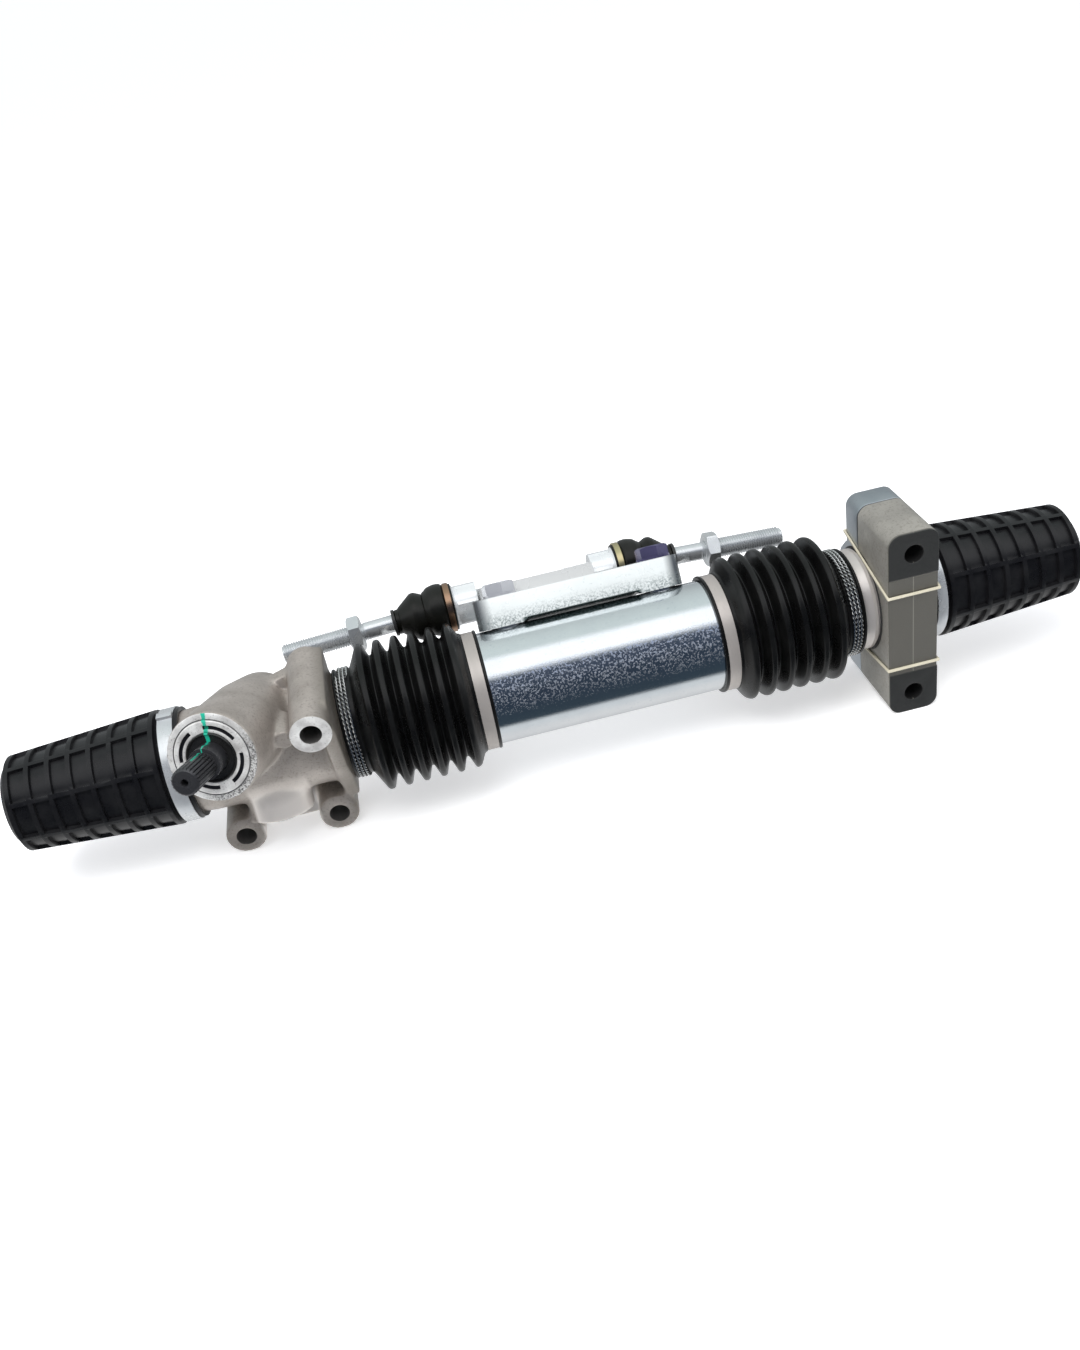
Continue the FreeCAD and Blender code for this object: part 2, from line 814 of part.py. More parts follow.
def capFrame(side):
    frame = sideFrame(side)
    if side == "left":
        frame.Base.x -= size("capLeftOpen")
    else:
        frame.Base.x += size("capRightOpen")
    return frame


def capClamp(side):
    inner = "capNeckRadius + capWall + slideGap"
    end = side + "CapBody - 2"
    body = newBody("cap_clamp_" + side)
    corners = [
        ("clampBandStart", inner),
        (end, inner),
        (end, inner + " + clampBandWall"),
        ("clampBandStart", inner + " + clampBandWall"),
    ]
    revolve(body, outline(newSketch(body, "clamp_section_" + side, "XY_Plane"), corners))
    ear = newSketch(body, "clamp_ear_" + side, "XY_Plane")
    earCorners = [
        ("clampBandStart", inner + " + clampBandWall / 4"),
        (end, inner + " + clampBandWall / 4"),
        (end, inner + " + clampEarHeight"),
        ("clampBandStart", inner + " + clampEarHeight"),
    ]
    outline(ear, earCorners)
    pad(body, ear, "clampEarWidth", "Ear", midplane=True)
    ear.AttachmentOffset = FreeCAD.Placement(vector(0, 0, 0), FreeCAD.Rotation(turnAxis, 90))
    return finishPart(body, "cap_clamp_" + side, capFrame(side))


# Bellows: cuff on the sleeve, six folds and the collar on the housing's neck
def bellows(side):
    crests = int(size("crestCount"))
    outerLine = []
    innerLine = []
    sleeve = "sleeveRadius + slideGap"
    neck = "neckRadius + slideGap"
    outerLine += [("cuffEdge", "cuffLip"), ("cuffEdge + 1.8", "cuffLip")]
    outerLine += [("cuffEdge + 1.8", sleeve + " + cuffWall")]
    outerLine += [("steelBandStart + steelBandWidth + 0.6", sleeve + " + cuffWall")]
    innerLine += [("cuffEdge", sleeve), ("steelBandStart + steelBandWidth + 0.6", sleeve)]
    for index in range(crests):
        centre = "crestFirst + crestPitch * %d" % index
        outerLine.append((centre + " - 0.7", "crestRadius"))
        outerLine.append((centre + " + 0.7", "crestRadius"))
        innerLine.append((centre, "crestRadius - bellowsWall"))
        if index < crests - 1:
            valley = centre + " + crestPitch / 2"
            outerLine.append((valley, "valleyRadius"))
            innerLine.append((valley + " - 0.5", "valleyRadius - bellowsWall"))
            innerLine.append((valley + " + 0.5", "valleyRadius - bellowsWall"))
    outerLine += [("collarStart", neck + " + collarWall"), ("collarEnd - 1.6", neck + " + collarWall")]
    outerLine += [("collarEnd - 1.6", neck + " + collarWall + collarLip")]
    outerLine += [("collarEnd", neck + " + collarWall + collarLip"), ("collarEnd", neck)]
    innerLine += [("collarStart + 0.5", neck)]
    return turned("bellows_" + side, outerLine + innerLine[::-1], sideFrame(side))


def steelBand(side):
    inner = "sleeveRadius + cuffWall + 2 * slideGap"
    end = "steelBandStart + steelBandWidth"
    return ring("bellows_band_" + side, "steelBandStart", end, inner, inner + " + steelBandWall", sideFrame(side))


# Soft wire wound three times round each bellows collar
def tieWire(side):
    inner = "neckRadius + 2 * slideGap + collarWall"
    corners = [("wireStart", inner), ("wireStart + 6 * wireRadius", inner)]
    for turn in (3, 2, 1):
        start = "wireStart + %d * wireRadius" % (2 * turn)
        corners.append((start + " - 0.5 * wireRadius", inner + " + 2 * wireRadius"))
        corners.append((start + " - 1.5 * wireRadius", inner + " + 2 * wireRadius"))
        if turn > 1:
            corners.append((start + " - 2 * wireRadius", inner + " + wireRadius"))
    return turned("tie_wire_" + side, corners, sideFrame(side))


# Rack bar with skewed teeth that face the pinion
def rackBar():
    body = newBody("rack")
    corners = [
        ("-rackLeft", "0"),
        ("rackRight", "0"),
        ("rackRight", "rackRadius - 1"),
        ("rackRight - 1", "rackRadius"),
        ("-rackLeft + 1", "rackRadius"),
        ("-rackLeft", "rackRadius - 1"),
    ]
    revolve(body, outline(newSketch(body, "rack_section", "XY_Plane"), corners))
    flat = newSketch(body, "tooth_flat", "XZ_Plane")
    left = "-pinionX - toothedLength / 2"
    right = "-pinionX + toothedLength / 2"
    top = "pitchLine + rackAddendum"
    outline(flat, [(left, top), (right, top), (right + " + 3", "rackRadius + 1"), (left + " - 3", "rackRadius + 1")])
    pocket(body, flat, "ToothFlat", "rackRadius * 4")
    pitch = math.pi * size("toothModule") / math.cos(math.radians(size("pinionSkew")))
    count = int(size("toothedLength") / pitch) - 3
    gap = newSketch(body, "tooth_gap", "XZ_Plane")
    gap.AttachmentOffset = FreeCAD.Placement(vector(0, 0, 0), FreeCAD.Rotation(depthAxis, -size("pinionSkew")))
    root = "pitchLine - pinionAddendum - toothTipGap"
    half = "(pi * toothModule / 4 + backlash / 2"
    deep = " - (pinionAddendum + toothTipGap) * tan(pressureAngle))"
    high = " + (rackAddendum + 1) * tan(pressureAngle))"
    start = "-pinionX * cos(pinionSkew) - pi * toothModule * %d" % (count // 2)
    gapCorners = [
        (start + " - " + half + deep, root),
        (start + " + " + half + deep, root),
        (start + " + " + half + high, top + " + 1"),
        (start + " - " + half + high, top + " + 1"),
    ]
    outline(gap, gapCorners)
    cut = pocket(body, gap, "ToothGap", "rackRadius * 24")
    doc.recompute()
    pattern = body.newObject("PartDesign::LinearPattern", "Teeth")
    pattern.Originals = [cut]
    pattern.Direction = (originPlane(body, "X_Axis"), [""])
    bind(pattern, "Length", "pi * toothModule / cos(pinionSkew) * %d" % (count - 1))
    pattern.Occurrences = count
    body.Tip = pattern
    return body


def spottedRack():
    bar = rackBar()
    bar.Placement = FreeCAD.Placement(vector(0, 0, 0), FreeCAD.Rotation(turnAxis, -size("pinionTilt")))
    tilt = FreeCAD.Rotation(turnAxis, -size("bracketTilt"))
    up = tilt.multVec(upAxis)
    tools = []
    for sign in (-1, 1):
        x = -size("boltCentre") + sign * size("boltHalfSpacing")
        seat = vector(x, 0, 0) + up * size("spotFace")
        tools.append(rod("spot_face", "spacerRadius + 0.6", "rackRadius", seat, up))
        low = vector(x, 0, 0) - up * (size("boltReach") + 1)
        tools.append(rod("tapped_hole", "boltRadius + slideGap", "rackRadius * 3", low, up))
    shape = removed("rack_drilled", bar, joined("rack_holes", tools))
    return finishPart(shape, "rack_bar", rackFrame())


# Sliding sleeve with two holes for the spacers
def slideSleeve():
    body = newBody("sleeve")
    inner = "sleeveRadius - sleeveWall"
    corners = [
        ("-sleeveHalf", inner),
        ("sleeveHalf", inner),
        ("sleeveHalf", "sleeveRadius"),
        ("-sleeveHalf", "sleeveRadius"),
    ]
    revolve(body, outline(newSketch(body, "sleeve_section", "XY_Plane"), corners))
    holes = newSketch(body, "sleeve_holes", "XY_Plane")
    for sign in ("-", "+"):
        circle(holes, "-boltCentre " + sign + " boltHalfSpacing", "0", "spacerRadius + seatGap")
    pocket(body, holes, "SpacerHoles", "sleeveRadius + 1", midplane=False, flip=True)
    return finishPart(body, "slide_sleeve", bracketFrame())


def sleeveBush(side):
    inner = "tubeRadius + slideGap"
    outer = "sleeveRadius - sleeveWall - slideGap"
    start = "sleeveHalf - sleeveBushLength"
    return ring("sleeve_bush_" + side, start, "sleeveHalf", inner, outer, sideFrame(side))


# Plastic guide that fills the tube's slot and carries the spacers
def slotGuide():
    body = newBody("guide")
    sketch = newSketch(body, "guide_outline", "XY_Plane")
    across = "slotHalfWidth - 3 * seatGap"
    left = "-boltCentre - guideHalf"
    right = "-boltCentre + guideHalf"
    outline(sketch, [
        (left, "-" + across.replace(" - ", " + ")),
        (right, "-" + across.replace(" - ", " + ")),
        (right, across),
        (left, across),
    ])
    for sign in ("-", "+"):
        circle(sketch, "-boltCentre " + sign + " boltHalfSpacing", "0", "spacerRadius + slideGap")
    bind(sketch, "AttachmentOffset.Base.z", "guideLow")
    pad(body, sketch, "guideHigh - guideLow - 1.4")
    return finishPart(body, "slot_guide", bracketFrame())


def boltPlaces():
    return [-size("boltCentre") + sign * size("boltHalfSpacing") for sign in (-1, 1)]


def copiesAlongBracket(label, makeOne):
    pieces = []
    for index, x in enumerate(boltPlaces()):
        piece = makeOne("%s_%d" % (label, index + 1))
        piece.Placement.Base = vector(x, 0, 0)
        pieces.append(piece)
    group = doc.addObject("Part::Compound", label + "_pair")
    group.Links = pieces
    return finishPart(group, label, bracketFrame())


def hexSketch(body, name, flats, role="XY_Plane"):
    sketch = newSketch(body, name, role)
    corners = []
    for index in range(6):
        angle = "%d" % (60 * index)
        corners.append((flats + " / 2 / cos(30) * cos(" + angle + ")", flats + " / 2 / cos(30) * sin(" + angle + ")"))
    outline(sketch, corners)
    return sketch


def spacer(name):
    body = newBody(name)
    sketch = newSketch(body, name + "_ring", "XY_Plane")
    circle(sketch, "0", "0", "spacerRadius")
    circle(sketch, "0", "0", "boltRadius + slideGap")
    bind(sketch, "AttachmentOffset.Base.z", "spotFace")
    pad(body, sketch, "bracketFoot - spotFace - slideGap")
    return body


def washer(name):
    body = newBody(name)
    sketch = newSketch(body, name + "_ring", "XY_Plane")
    circle(sketch, "0", "0", "washerRadius")
    circle(sketch, "0", "0", "boltRadius + slideGap")
    bind(sketch, "AttachmentOffset.Base.z", "bracketTop")
    pad(body, sketch, "washerThick")
    return body


def bolt(name):
    body = newBody(name)
    head = hexSketch(body, name + "_hexagon", "boltHeadFlats")
    bind(head, "AttachmentOffset.Base.z", "bracketTop + washerThick")
    pad(body, head, "boltHeadHeight")
    shank = newSketch(body, name + "_shank", "XY_Plane")
    circle(shank, "0", "0", "boltRadius")
    bind(shank, "AttachmentOffset.Base.z", "-boltReach")
    pad(body, shank, "bracketTop + washerThick + boltReach", "Shank")
    return body


# Forged bracket: a bar on two feet over the sleeve and the ball joints' carrier behind
def bracket():
    body = newBody("bracket_bar")
    sketch = newSketch(body, "bar_plan", "XY_Plane")
    left = "-bracketCentre - bracketHalf"
    right = "-bracketCentre + bracketHalf"
    outline(sketch, [
        (left + " + bracketCorner", "-bracketFront"),
        (right + " - bracketCorner", "-bracketFront"),
        (right + " - bracketCorner * 0.3", "-bracketFront + bracketCorner * 0.3"),
        (right, "-bracketFront + bracketCorner"),
        (right, "bracketBack"),
        (left, "bracketBack"),
        (left, "-bracketFront + bracketCorner"),
        (left + " + bracketCorner * 0.3", "-bracketFront + bracketCorner * 0.3"),
    ])
    bind(sketch, "AttachmentOffset.Base.z", "bracketFoot")
    pad(body, sketch, "bracketTop - bracketFoot")
    carrier = newSketch(body, "carrier_plan", "XY_Plane")
    outline(carrier, [
        ("-carrierLeft", "washerRadius + 2 * seatGap"),
        ("carrierRight", "washerRadius + 2 * seatGap"),
        ("carrierRight", "carrierBack - 4"),
        ("carrierRight - 4", "carrierBack"),
        ("-carrierLeft + 4", "carrierBack"),
        ("-carrierLeft", "carrierBack - 4"),
    ])
    bind(carrier, "AttachmentOffset.Base.z", "carrierLow")
    pad(body, carrier, "carrierHigh - carrierLow", "Carrier")
    relief = newSketch(body, "foot_relief", "XZ_Plane")
    inLeft = left + " + bracketFootLength"
    inRight = right + " - bracketFootLength"
    outline(relief, [
        (inLeft, "bracketFoot - 1"),
        (inRight, "bracketFoot - 1"),
        (inRight, "bracketFoot"),
        (inRight + " - 4", "bracketFoot + bracketRelief"),
        (inLeft + " + 4", "bracketFoot + bracketRelief"),
        (inLeft, "bracketFoot"),
    ])
    pocket(body, relief, "FootRelief", "bracketFront * 8")
    holes = newSketch(body, "bracket_holes", "XY_Plane")
    for sign in ("-", "+"):
        circle(holes, "-boltCentre " + sign + " boltHalfSpacing", "0", "boltRadius + seatGap")
    pocket(body, holes, "BoltHoles", "bracketTop * 4")
    shankHole = newSketch(body, "shank_hole", "YZ_Plane")
    circle(shankHole, "jointBack", "jointRise", "shankRadius + slideGap")
    pocket(body, shankHole, "ShankHole", "bracketHalf * 6")
    return finishPart(body, "bracket", bracketFrame())


# Ball joint socket: cup, hexagon and the threaded shank in the carrier
def jointHousing(side):
    body = newBody("joint_" + side)
    cavity = "(ballRadius + seatWall + 2 * slideGap)"
    corners = [
        ("-socketTail - hexLength - shankLength", "0"),
        ("socketMouth", "0"),
        ("socketMouth", "socketRadius - 1"),
        ("socketMouth - 1", "socketRadius"),
        ("-socketTail + 1", "socketRadius"),
        ("-socketTail", "socketRadius - 1"),
        ("-socketTail - hexLength", "socketRadius - 1"),
        ("-socketTail - hexLength", "shankRadius"),
        ("-socketTail - hexLength - shankLength", "shankRadius"),
    ]
    revolve(body, outline(newSketch(body, "socket_section_" + side, "XY_Plane"), corners))
    hexagon = hexSketch(body, "socket_hexagon_" + side, "hexFlats", "YZ_Plane")
    bind(hexagon, "AttachmentOffset.Base.z", "-socketTail - hexLength")
    pad(body, hexagon, "hexLength - 1", "Hexagon")
    ball = doc.addObject("Part::Sphere", "cavity_" + side)
    bind(ball, "Radius", cavity)
    ball.Placement = polesAlongX
    mouth = rod("mouth_" + side, "sqrt(" + cavity + " * " + cavity + " - socketMouth * socketMouth)", "6",
                vector(size("socketMouth") - 1, 0, 0), turnAxis)
    shape = removed("joint_cup_" + side, body, joined("joint_room_" + side, [ball, mouth]))
    return finishPart(shape, "joint_housing_" + side, jointFrame(side))


# Nylon seat round the ball
def ballSeat(side):
    outer = doc.addObject("Part::Sphere", "seat_outer_" + side)
    bind(outer, "Radius", "ballRadius + seatWall + slideGap")
    inner = doc.addObject("Part::Sphere", "seat_inner_" + side)
    bind(inner, "Radius", "ballRadius + slideGap")
    outer.Placement = polesAlongX
    inner.Placement = polesAlongX
    front = rod("seat_front_" + side, "ballRadius * 2", "ballRadius * 2", vector(size("socketMouth") - 0.2, 0, 0), turnAxis)
    back = rod("seat_back_" + side, "ballRadius * 2", "ballRadius * 2", vector(-size("seatTail"), 0, 0), vector(-1, 0, 0))
    shell = removed("seat_shell_" + side, outer, joined("seat_room_" + side, [inner, front, back]))
    return finishPart(shell, "ball_seat_" + side, jointFrame(side))


# Tie rod: ball, waisted neck, shank with two flats and the thread for the outer rod
def tieRod(side):
    body = newBody("rod_" + side)
    nutFace = "nutStart + nutHeight + 3 * seatGap"
    corners = [
        ("ballRadius * 0.7", "0"),
        ("rodEnd", "0"),
        ("rodEnd", "threadRadius - rodEndChamfer"),
        ("rodEnd - rodEndChamfer", "threadRadius"),
        (nutFace, "threadRadius"),
        (nutFace, "threadRoot"),
        ("threadStart", "threadRoot"),
        ("threadStart - 1", "rodRadius"),
        ("bootEnd - 4", "rodRadius"),
        ("bootEnd - 8", "neckThin"),
        ("ballRadius * 0.7", "neckThin"),
    ]
    revolve(body, outline(newSketch(body, "rod_section_" + side, "XY_Plane"), corners))
    for sign, name in (("", "Upper"), ("-", "Lower")):
        flat = newSketch(body, "rod_flat_" + name + side, "XY_Plane")
        low = sign + "flatsHalf"
        high = sign + "rodRadius * 1.5"
        outline(flat, [("flatsStart", low), ("flatsEnd", low), ("flatsEnd", high), ("flatsStart", high)])
        pocket(body, flat, "Flat" + name, "rodRadius * 4")
    ball = doc.addObject("Part::Sphere", "ball_" + side)
    bind(ball, "Radius", "ballRadius")
    ball.Placement = polesAlongX
    shape = joined("rod_with_ball_" + side, [ball, body])
    return finishPart(shape, "tie_rod_" + side, rodFrame(side))


def lockNut(side):
    body = newBody("nut_" + side)
    sketch = hexSketch(body, "nut_hexagon_" + side, "nutFlats", "YZ_Plane")
    circle(sketch, "0", "0", "threadRoot + slideGap")
    bind(sketch, "AttachmentOffset.Base.z", "nutStart")
    pad(body, sketch, "nutHeight")
    return finishPart(body, "lock_nut_" + side, rodFrame(side))


# Rubber boot: its cuff and dome sit square on the socket, its cone follows the drooping rod
def boot(side):
    inner = "socketRadius + slideGap"
    droop = jointFrame(side).inverse().multiply(rodFrame(side))
    dome = solidOfTurn("boot_dome_" + side, [
        ("-bootCuffStart", "0"),
        ("bootValleyPlace + 0.6", "0"),
        ("bootValleyPlace + 0.6", "bootValley"),
        ("bootValleyPlace - 0.6", "bootValley"),
        ("socketMouth + 3", "bootDome - 0.6"),
        ("socketMouth", "bootDome"),
        ("-bootCuffEnd + 0.4", "bootDome - 0.2"),
        ("-bootCuffEnd", inner + " + bootWall"),
        ("-bootCuffStart", inner + " + bootWall"),
    ])
    domeRoom = solidOfTurn("boot_dome_room_" + side, [
        ("-bootCuffStart - 1", "0"),
        ("bootValleyPlace + 0.6", "0"),
        ("bootValleyPlace + 0.6", "bootValley - bootWall"),
        ("bootValleyPlace", "bootValley - bootWall"),
        ("socketMouth + 1", "bootDome - bootWall"),
        ("-bootCuffEnd + 1", inner),
        ("-bootCuffStart - 1", inner),
    ])
    cone = solidOfTurn("boot_cone_" + side, [
        ("bootValleyPlace - 1", "0"),
        ("bootEnd", "0"),
        ("bootEnd", "bootSmall"),
        ("bootEnd - 2.5", "bootSmall + 0.6"),
        ("bootCrestPlace + 1.2", "bootCrest"),
        ("bootCrestPlace - 1.2", "bootCrest"),
        ("bootValleyPlace + 0.6", "bootValley"),
        ("bootValleyPlace - 1", "bootValley - 0.7"),
    ])
    coneRoom = solidOfTurn("boot_cone_room_" + side, [
        ("bootValleyPlace - 1", "0"),
        ("bootEnd + 1", "0"),
        ("bootEnd + 1", "rodRadius + slideGap"),
        ("bootEnd - 3", "rodRadius + slideGap"),
        ("bootEnd - 4", "rodRadius + slideGap + 1"),
        ("bootCrestPlace", "bootCrest - bootWall"),
        ("bootValleyPlace", "bootValley - bootWall - 0.6"),
        ("bootValleyPlace - 1", "bootValley - bootWall - 0.6"),
    ])
    cone.Placement = droop
    coneRoom.Placement = droop
    skin = joined("boot_skin_" + side, [dome, cone])
    room = joined("boot_room_" + side, [domeRoom, coneRoom])
    return finishPart(removed("boot_hollow_" + side, skin, room), "boot_" + side, jointFrame(side))


def bootRing(side):
    inner = "socketRadius + 2 * slideGap + bootWall"
    return ring("boot_ring_" + side, "-bootRingStart", "-bootRingEnd", inner, inner + " + 0.8", jointFrame(side))


def bootDisc(side):
    inner = "rodRadius + slideGap"
    return ring("boot_disc_" + side, "bootEnd + seatGap", "discEnd", inner, "discRadius", rodFrame(side))


# Pinion: straight teeth cut on the shaft, journals, seal collar and the splined end
def involutePoint(base, angle):
    roll = math.radians(angle)
    return (base * (math.cos(roll) + roll * math.sin(roll)), base * (math.sin(roll) - roll * math.cos(roll)))


def gearOutline():
    teeth = int(size("pinionTeeth"))
    radius = pitchRadius()
    base = radius * math.cos(math.radians(size("pressureAngle")))
    root = radius - size("rackAddendum") - size("toothTipGap")
    tip = radius + size("pinionAddendum")
    pressure = math.radians(size("pressureAngle"))
    halfTooth = math.pi / 2 / teeth - size("backlash") / 4 / radius
    shift = math.tan(pressure) - pressure
    flank = []
    steps = 6
    last = math.degrees(math.sqrt((tip / base) ** 2 - 1))
    for step in range(steps + 1):
        x, y = involutePoint(base, last * step / steps)
        distance = math.hypot(x, y)
        turn = math.atan2(y, x) - shift - halfTooth
        flank.append((distance, turn))
    if root < base:
        flank.insert(0, (root, flank[0][1]))
    points = []
    for tooth in range(teeth):
        middle = 2 * math.pi * tooth / teeth
        for distance, turn in flank:
            points.append((distance, middle + turn))
        for distance, turn in flank[::-1]:
            points.append((distance, middle - turn))
    places = [vector(distance * math.cos(angle), distance * math.sin(angle), 0) for distance, angle in points]
    return Part.makePolygon(places + [places[0]])


def splineOutline():
    teeth = int(size("splineTeeth"))
    outer = size("splineRadius")
    inner = outer - size("splineDepth")
    def place(radius, share):
        angle = 2 * math.pi * share / teeth
        return vector(radius * math.cos(angle), radius * math.sin(angle), 0)

    edges = []
    for tooth in range(teeth):
        start = place(outer, tooth - 0.3)
        middle = place(outer, tooth)
        end = place(outer, tooth + 0.3)
        root = place(inner, tooth + 0.5)
        edges.append(Part.Arc(start, middle, end).toShape())
        edges.append(Part.makeLine(end, root))
        edges.append(Part.makeLine(root, place(outer, tooth + 0.7)))
    return Part.Wire(edges)


def prism(wire, start, end):
    face = Part.Face(wire)
    solid = face.extrude(vector(0, 0, end - start))
    solid.translate(vector(0, 0, start))
    return solid


def drum(radius, start, end):
    return Part.makeCylinder(radius, end - start, vector(0, 0, start), upAxis)


def pinionShaft():
    front = size("pinionFront")
    splineStart = front - size("splineLength")
    bearingRear = size("towerFront") - size("bearingSeat") - 0.5
    bearingFront = size("towerFront") - size("ringSeat") + 1
    gear = prism(gearOutline(), -size("toothRear"), size("toothFront"))
    spline = prism(splineOutline(), splineStart, front)
    bevel = size("splineDepth") + 0.3
    envelope = Part.makeCone(size("splineRadius") + 1, size("splineRadius") - bevel, bevel + 1,
                             vector(0, 0, front - bevel - 1), upAxis)
    spline = spline.common(drum(size("splineRadius") + 1, splineStart, front - bevel - 1).fuse(envelope))
    pieces = [
        drum(size("journalRadius"), -size("journalRear"), -size("toothRear")),
        drum(size("shaftRadius"), size("toothFront"), bearingRear),
        drum(size("shaftRadius") + 0.5, bearingRear, bearingFront),
        drum(size("collarRadius"), bearingFront, size("collarFront")),
        drum(size("splineNeckRadius"), size("collarFront"), splineStart),
        spline,
    ]
    shaft = gear.multiFuse(pieces)
    hole = drum(size("centreHoleRadius"), front - size("centreHoleDepth"), front + 1)
    shaft = shaft.cut(hole).removeSplitter()
    thing = doc.addObject("Part::Feature", "pinion_solid")
    thing.Shape = shaft
    frame = pinionFrame().multiply(FreeCAD.Placement(vector(0, 0, 0), FreeCAD.Rotation(upAxis, gearPhase())))
    return finishPart(thing, "pinion_shaft", frame)


# The rack has a gap under the pinion, so a pinion tooth points straight at the rack
def gearPhase():
    return 180.0


def alongPinion(label, corners):
    body = newBody(label)
    sketch = newSketch(body, label + "_section", "XZ_Plane")
    outline(sketch, [(radius, distance) for distance, radius in corners])
    turn = body.newObject("PartDesign::Revolution", "Turn")
    turn.Profile = sketch
    turn.ReferenceAxis = (sketch, ["V_Axis"])
    turn.Angle = 360
    return body


def pinionRing(label, start, end, inner, outer):
    corners = [(start, inner), (end, inner), (end, outer), (start, outer)]
    return finishPart(alongPinion(label, corners), label, pinionFrame())


def bearingBalls(name, radius, count, height, ballRadius):
    balls = []
    for index in range(count):
        angle = 2 * math.pi * index / count
        centre = vector(radius * math.cos(angle), radius * math.sin(angle), height)
        balls.append(Part.makeSphere(ballRadius, centre))
    thing = doc.addObject("Part::Feature", name)
    thing.Shape = Part.makeCompound(balls)
    return finishPart(thing, name, pinionFrame())


def pinionBearings():
    rear = "towerFront - bearingSeat + 0.5"
    front = "towerFront - ringSeat - 0.5"
    pinionRing("bearing_outer_ring", rear, front, "bearingTrack", "bearingRadius")
    pinionRing("bearing_inner_ring", rear, front, "shaftRadius + 0.5 + slideGap", "bearingInner")
    height = size("towerFront") - (size("bearingSeat") + size("ringSeat")) / 2
    count = int(size("bearingBallCount"))
    bearingBalls("bearing_balls", size("bearingBallCircle"), count, height, size("bearingBallRadius"))
    journal = "journalRadius"
    outer = journal + " + needleWall - slideGap"
    pinionRing("needle_bush", "-journalRear + 1", "-toothRear - 2", journal + " + slideGap", outer)


# Slotted ring nut that closes the tower, and the shaft seal inside it
def retainingRing():
    body = alongPinion("ring_nut", [
        ("towerFront - ringSeat + seatGap", "ringHole"),
        ("towerFront + ringRise", "ringHole"),
        ("towerFront + ringRise", "ringRadius - 1"),
        ("towerFront", "ringRadius"),
        ("towerFront - ringSeat + seatGap", "ringRadius"),
    ])
    tools = []
    floor = vector(0, 0, size("towerFront") - size("ringSlotDepth"))
    for index in range(4):
        outerDisc = Part.makeCylinder(size("ringSlotOuter"), 4, floor, upAxis, size("ringSlotArc"))
        innerDisc = Part.makeCylinder(size("ringSlotInner"), 4, floor, upAxis, size("ringSlotArc"))
        arc = outerDisc.cut(innerDisc)
        arc.rotate(vector(0, 0, 0), upAxis, 90 * index + size("ringSlotTurn"))
        tools.append(arc)
    slots = doc.addObject("Part::Feature", "ring_slots")
    slots.Shape = Part.makeCompound(tools)
    return finishPart(removed("ring_slotted", body, slots), "retaining_ring", pinionFrame())


def pinionSeal():
    corners = [
        ("towerFront - 3.5", "collarRadius + slideGap"),
        ("towerFront + 0.4", "collarRadius + slideGap"),
        ("towerFront + 0.4", "ringHole - 1.7"),
        ("towerFront + 1.6", "ringHole - 0.7"),
        ("towerFront + 1", "ringHole - seatGap"),
        ("towerFront - 3.5", "ringHole - seatGap"),
    ]
    return finishPart(alongPinion("seal", corners), "pinion_seal", pinionFrame())


# Yoke that presses the rack against the pinion, with its spring and plug
def yokeFrame():
    down = FreeCAD.Rotation(turnAxis, 180)
    place = FreeCAD.Placement(vector(-size("pinionX"), 0, 0), down)
    return toothFrame().multiply(place)


def yokePieces():
    yoke = doc.addObject("Part::Cylinder", "yoke_slug")
    bind(yoke, "Radius", "yokeRadius - slideGap")
    bind(yoke, "Height", "yokeLength")
    yoke.Placement.Base.z = size("yokeStart")
    wide = size("yokeRadius") * 3
    saddle = rod("yoke_saddle", "rackRadius + slideGap", "yokeRadius * 6", vector(-wide, 0, 0), turnAxis)
    room = rod("spring_room", "springRoom", "yokeLength", vector(0, 0, size("springFloor")), upAxis)
    slug = removed("yoke_cut", yoke, joined("yoke_tools", [saddle, room]))
    finishPart(slug, "yoke", yokeFrame())
    coil = Part.makeHelix(size("springPitch"), size("springLength"), size("springRadius"))
    start = vector(size("springRadius"), 0, 0)
    section = Part.Wire([Part.makeCircle(size("springWire"), start, vector(0, 1, 0.1))])
    spring = Part.Wire(coil).makePipeShell([section], True, True)
    thing = doc.addObject("Part::Feature", "yoke_coil")
    thing.Shape = spring
    low = size("springFloor") + size("springWire") + 3 * size("seatGap")
    frame = yokeFrame().multiply(FreeCAD.Placement(vector(0, 0, low), FreeCAD.Rotation()))
    finishPart(thing, "yoke_spring", frame)
    body = newBody("plug")
    sketch = newSketch(body, "plug_disc", "XY_Plane")
    circle(sketch, "0", "0", "yokeRadius - slideGap")
    bind(sketch, "AttachmentOffset.Base.z", "plugStart")
    pad(body, sketch, "yokeBossEnd + plugRise - plugStart")
    socket = hexSketch(body, "plug_hexagon", "plugSocketFlats")
    bind(socket, "AttachmentOffset.Base.z", "yokeBossEnd + plugRise")
    pocket(body, socket, "Socket", "plugSocketDepth", midplane=False)
    finishPart(body, "yoke_plug", yokeFrame())


def rackBushes():
    inner = "rackRadius + slideGap"
    outer = "tubeRadius - tubeWall - slideGap"
    start = slotReach + " + rackBushStep"
    ring("rack_bush_left", "-tubeLeft + 1", "-tubeLeft + 1 + rackBushLength", inner, outer, rackFrame())
    ring("rack_bush_right", start, start + " + rackBushLength", inner, outer, rackFrame())


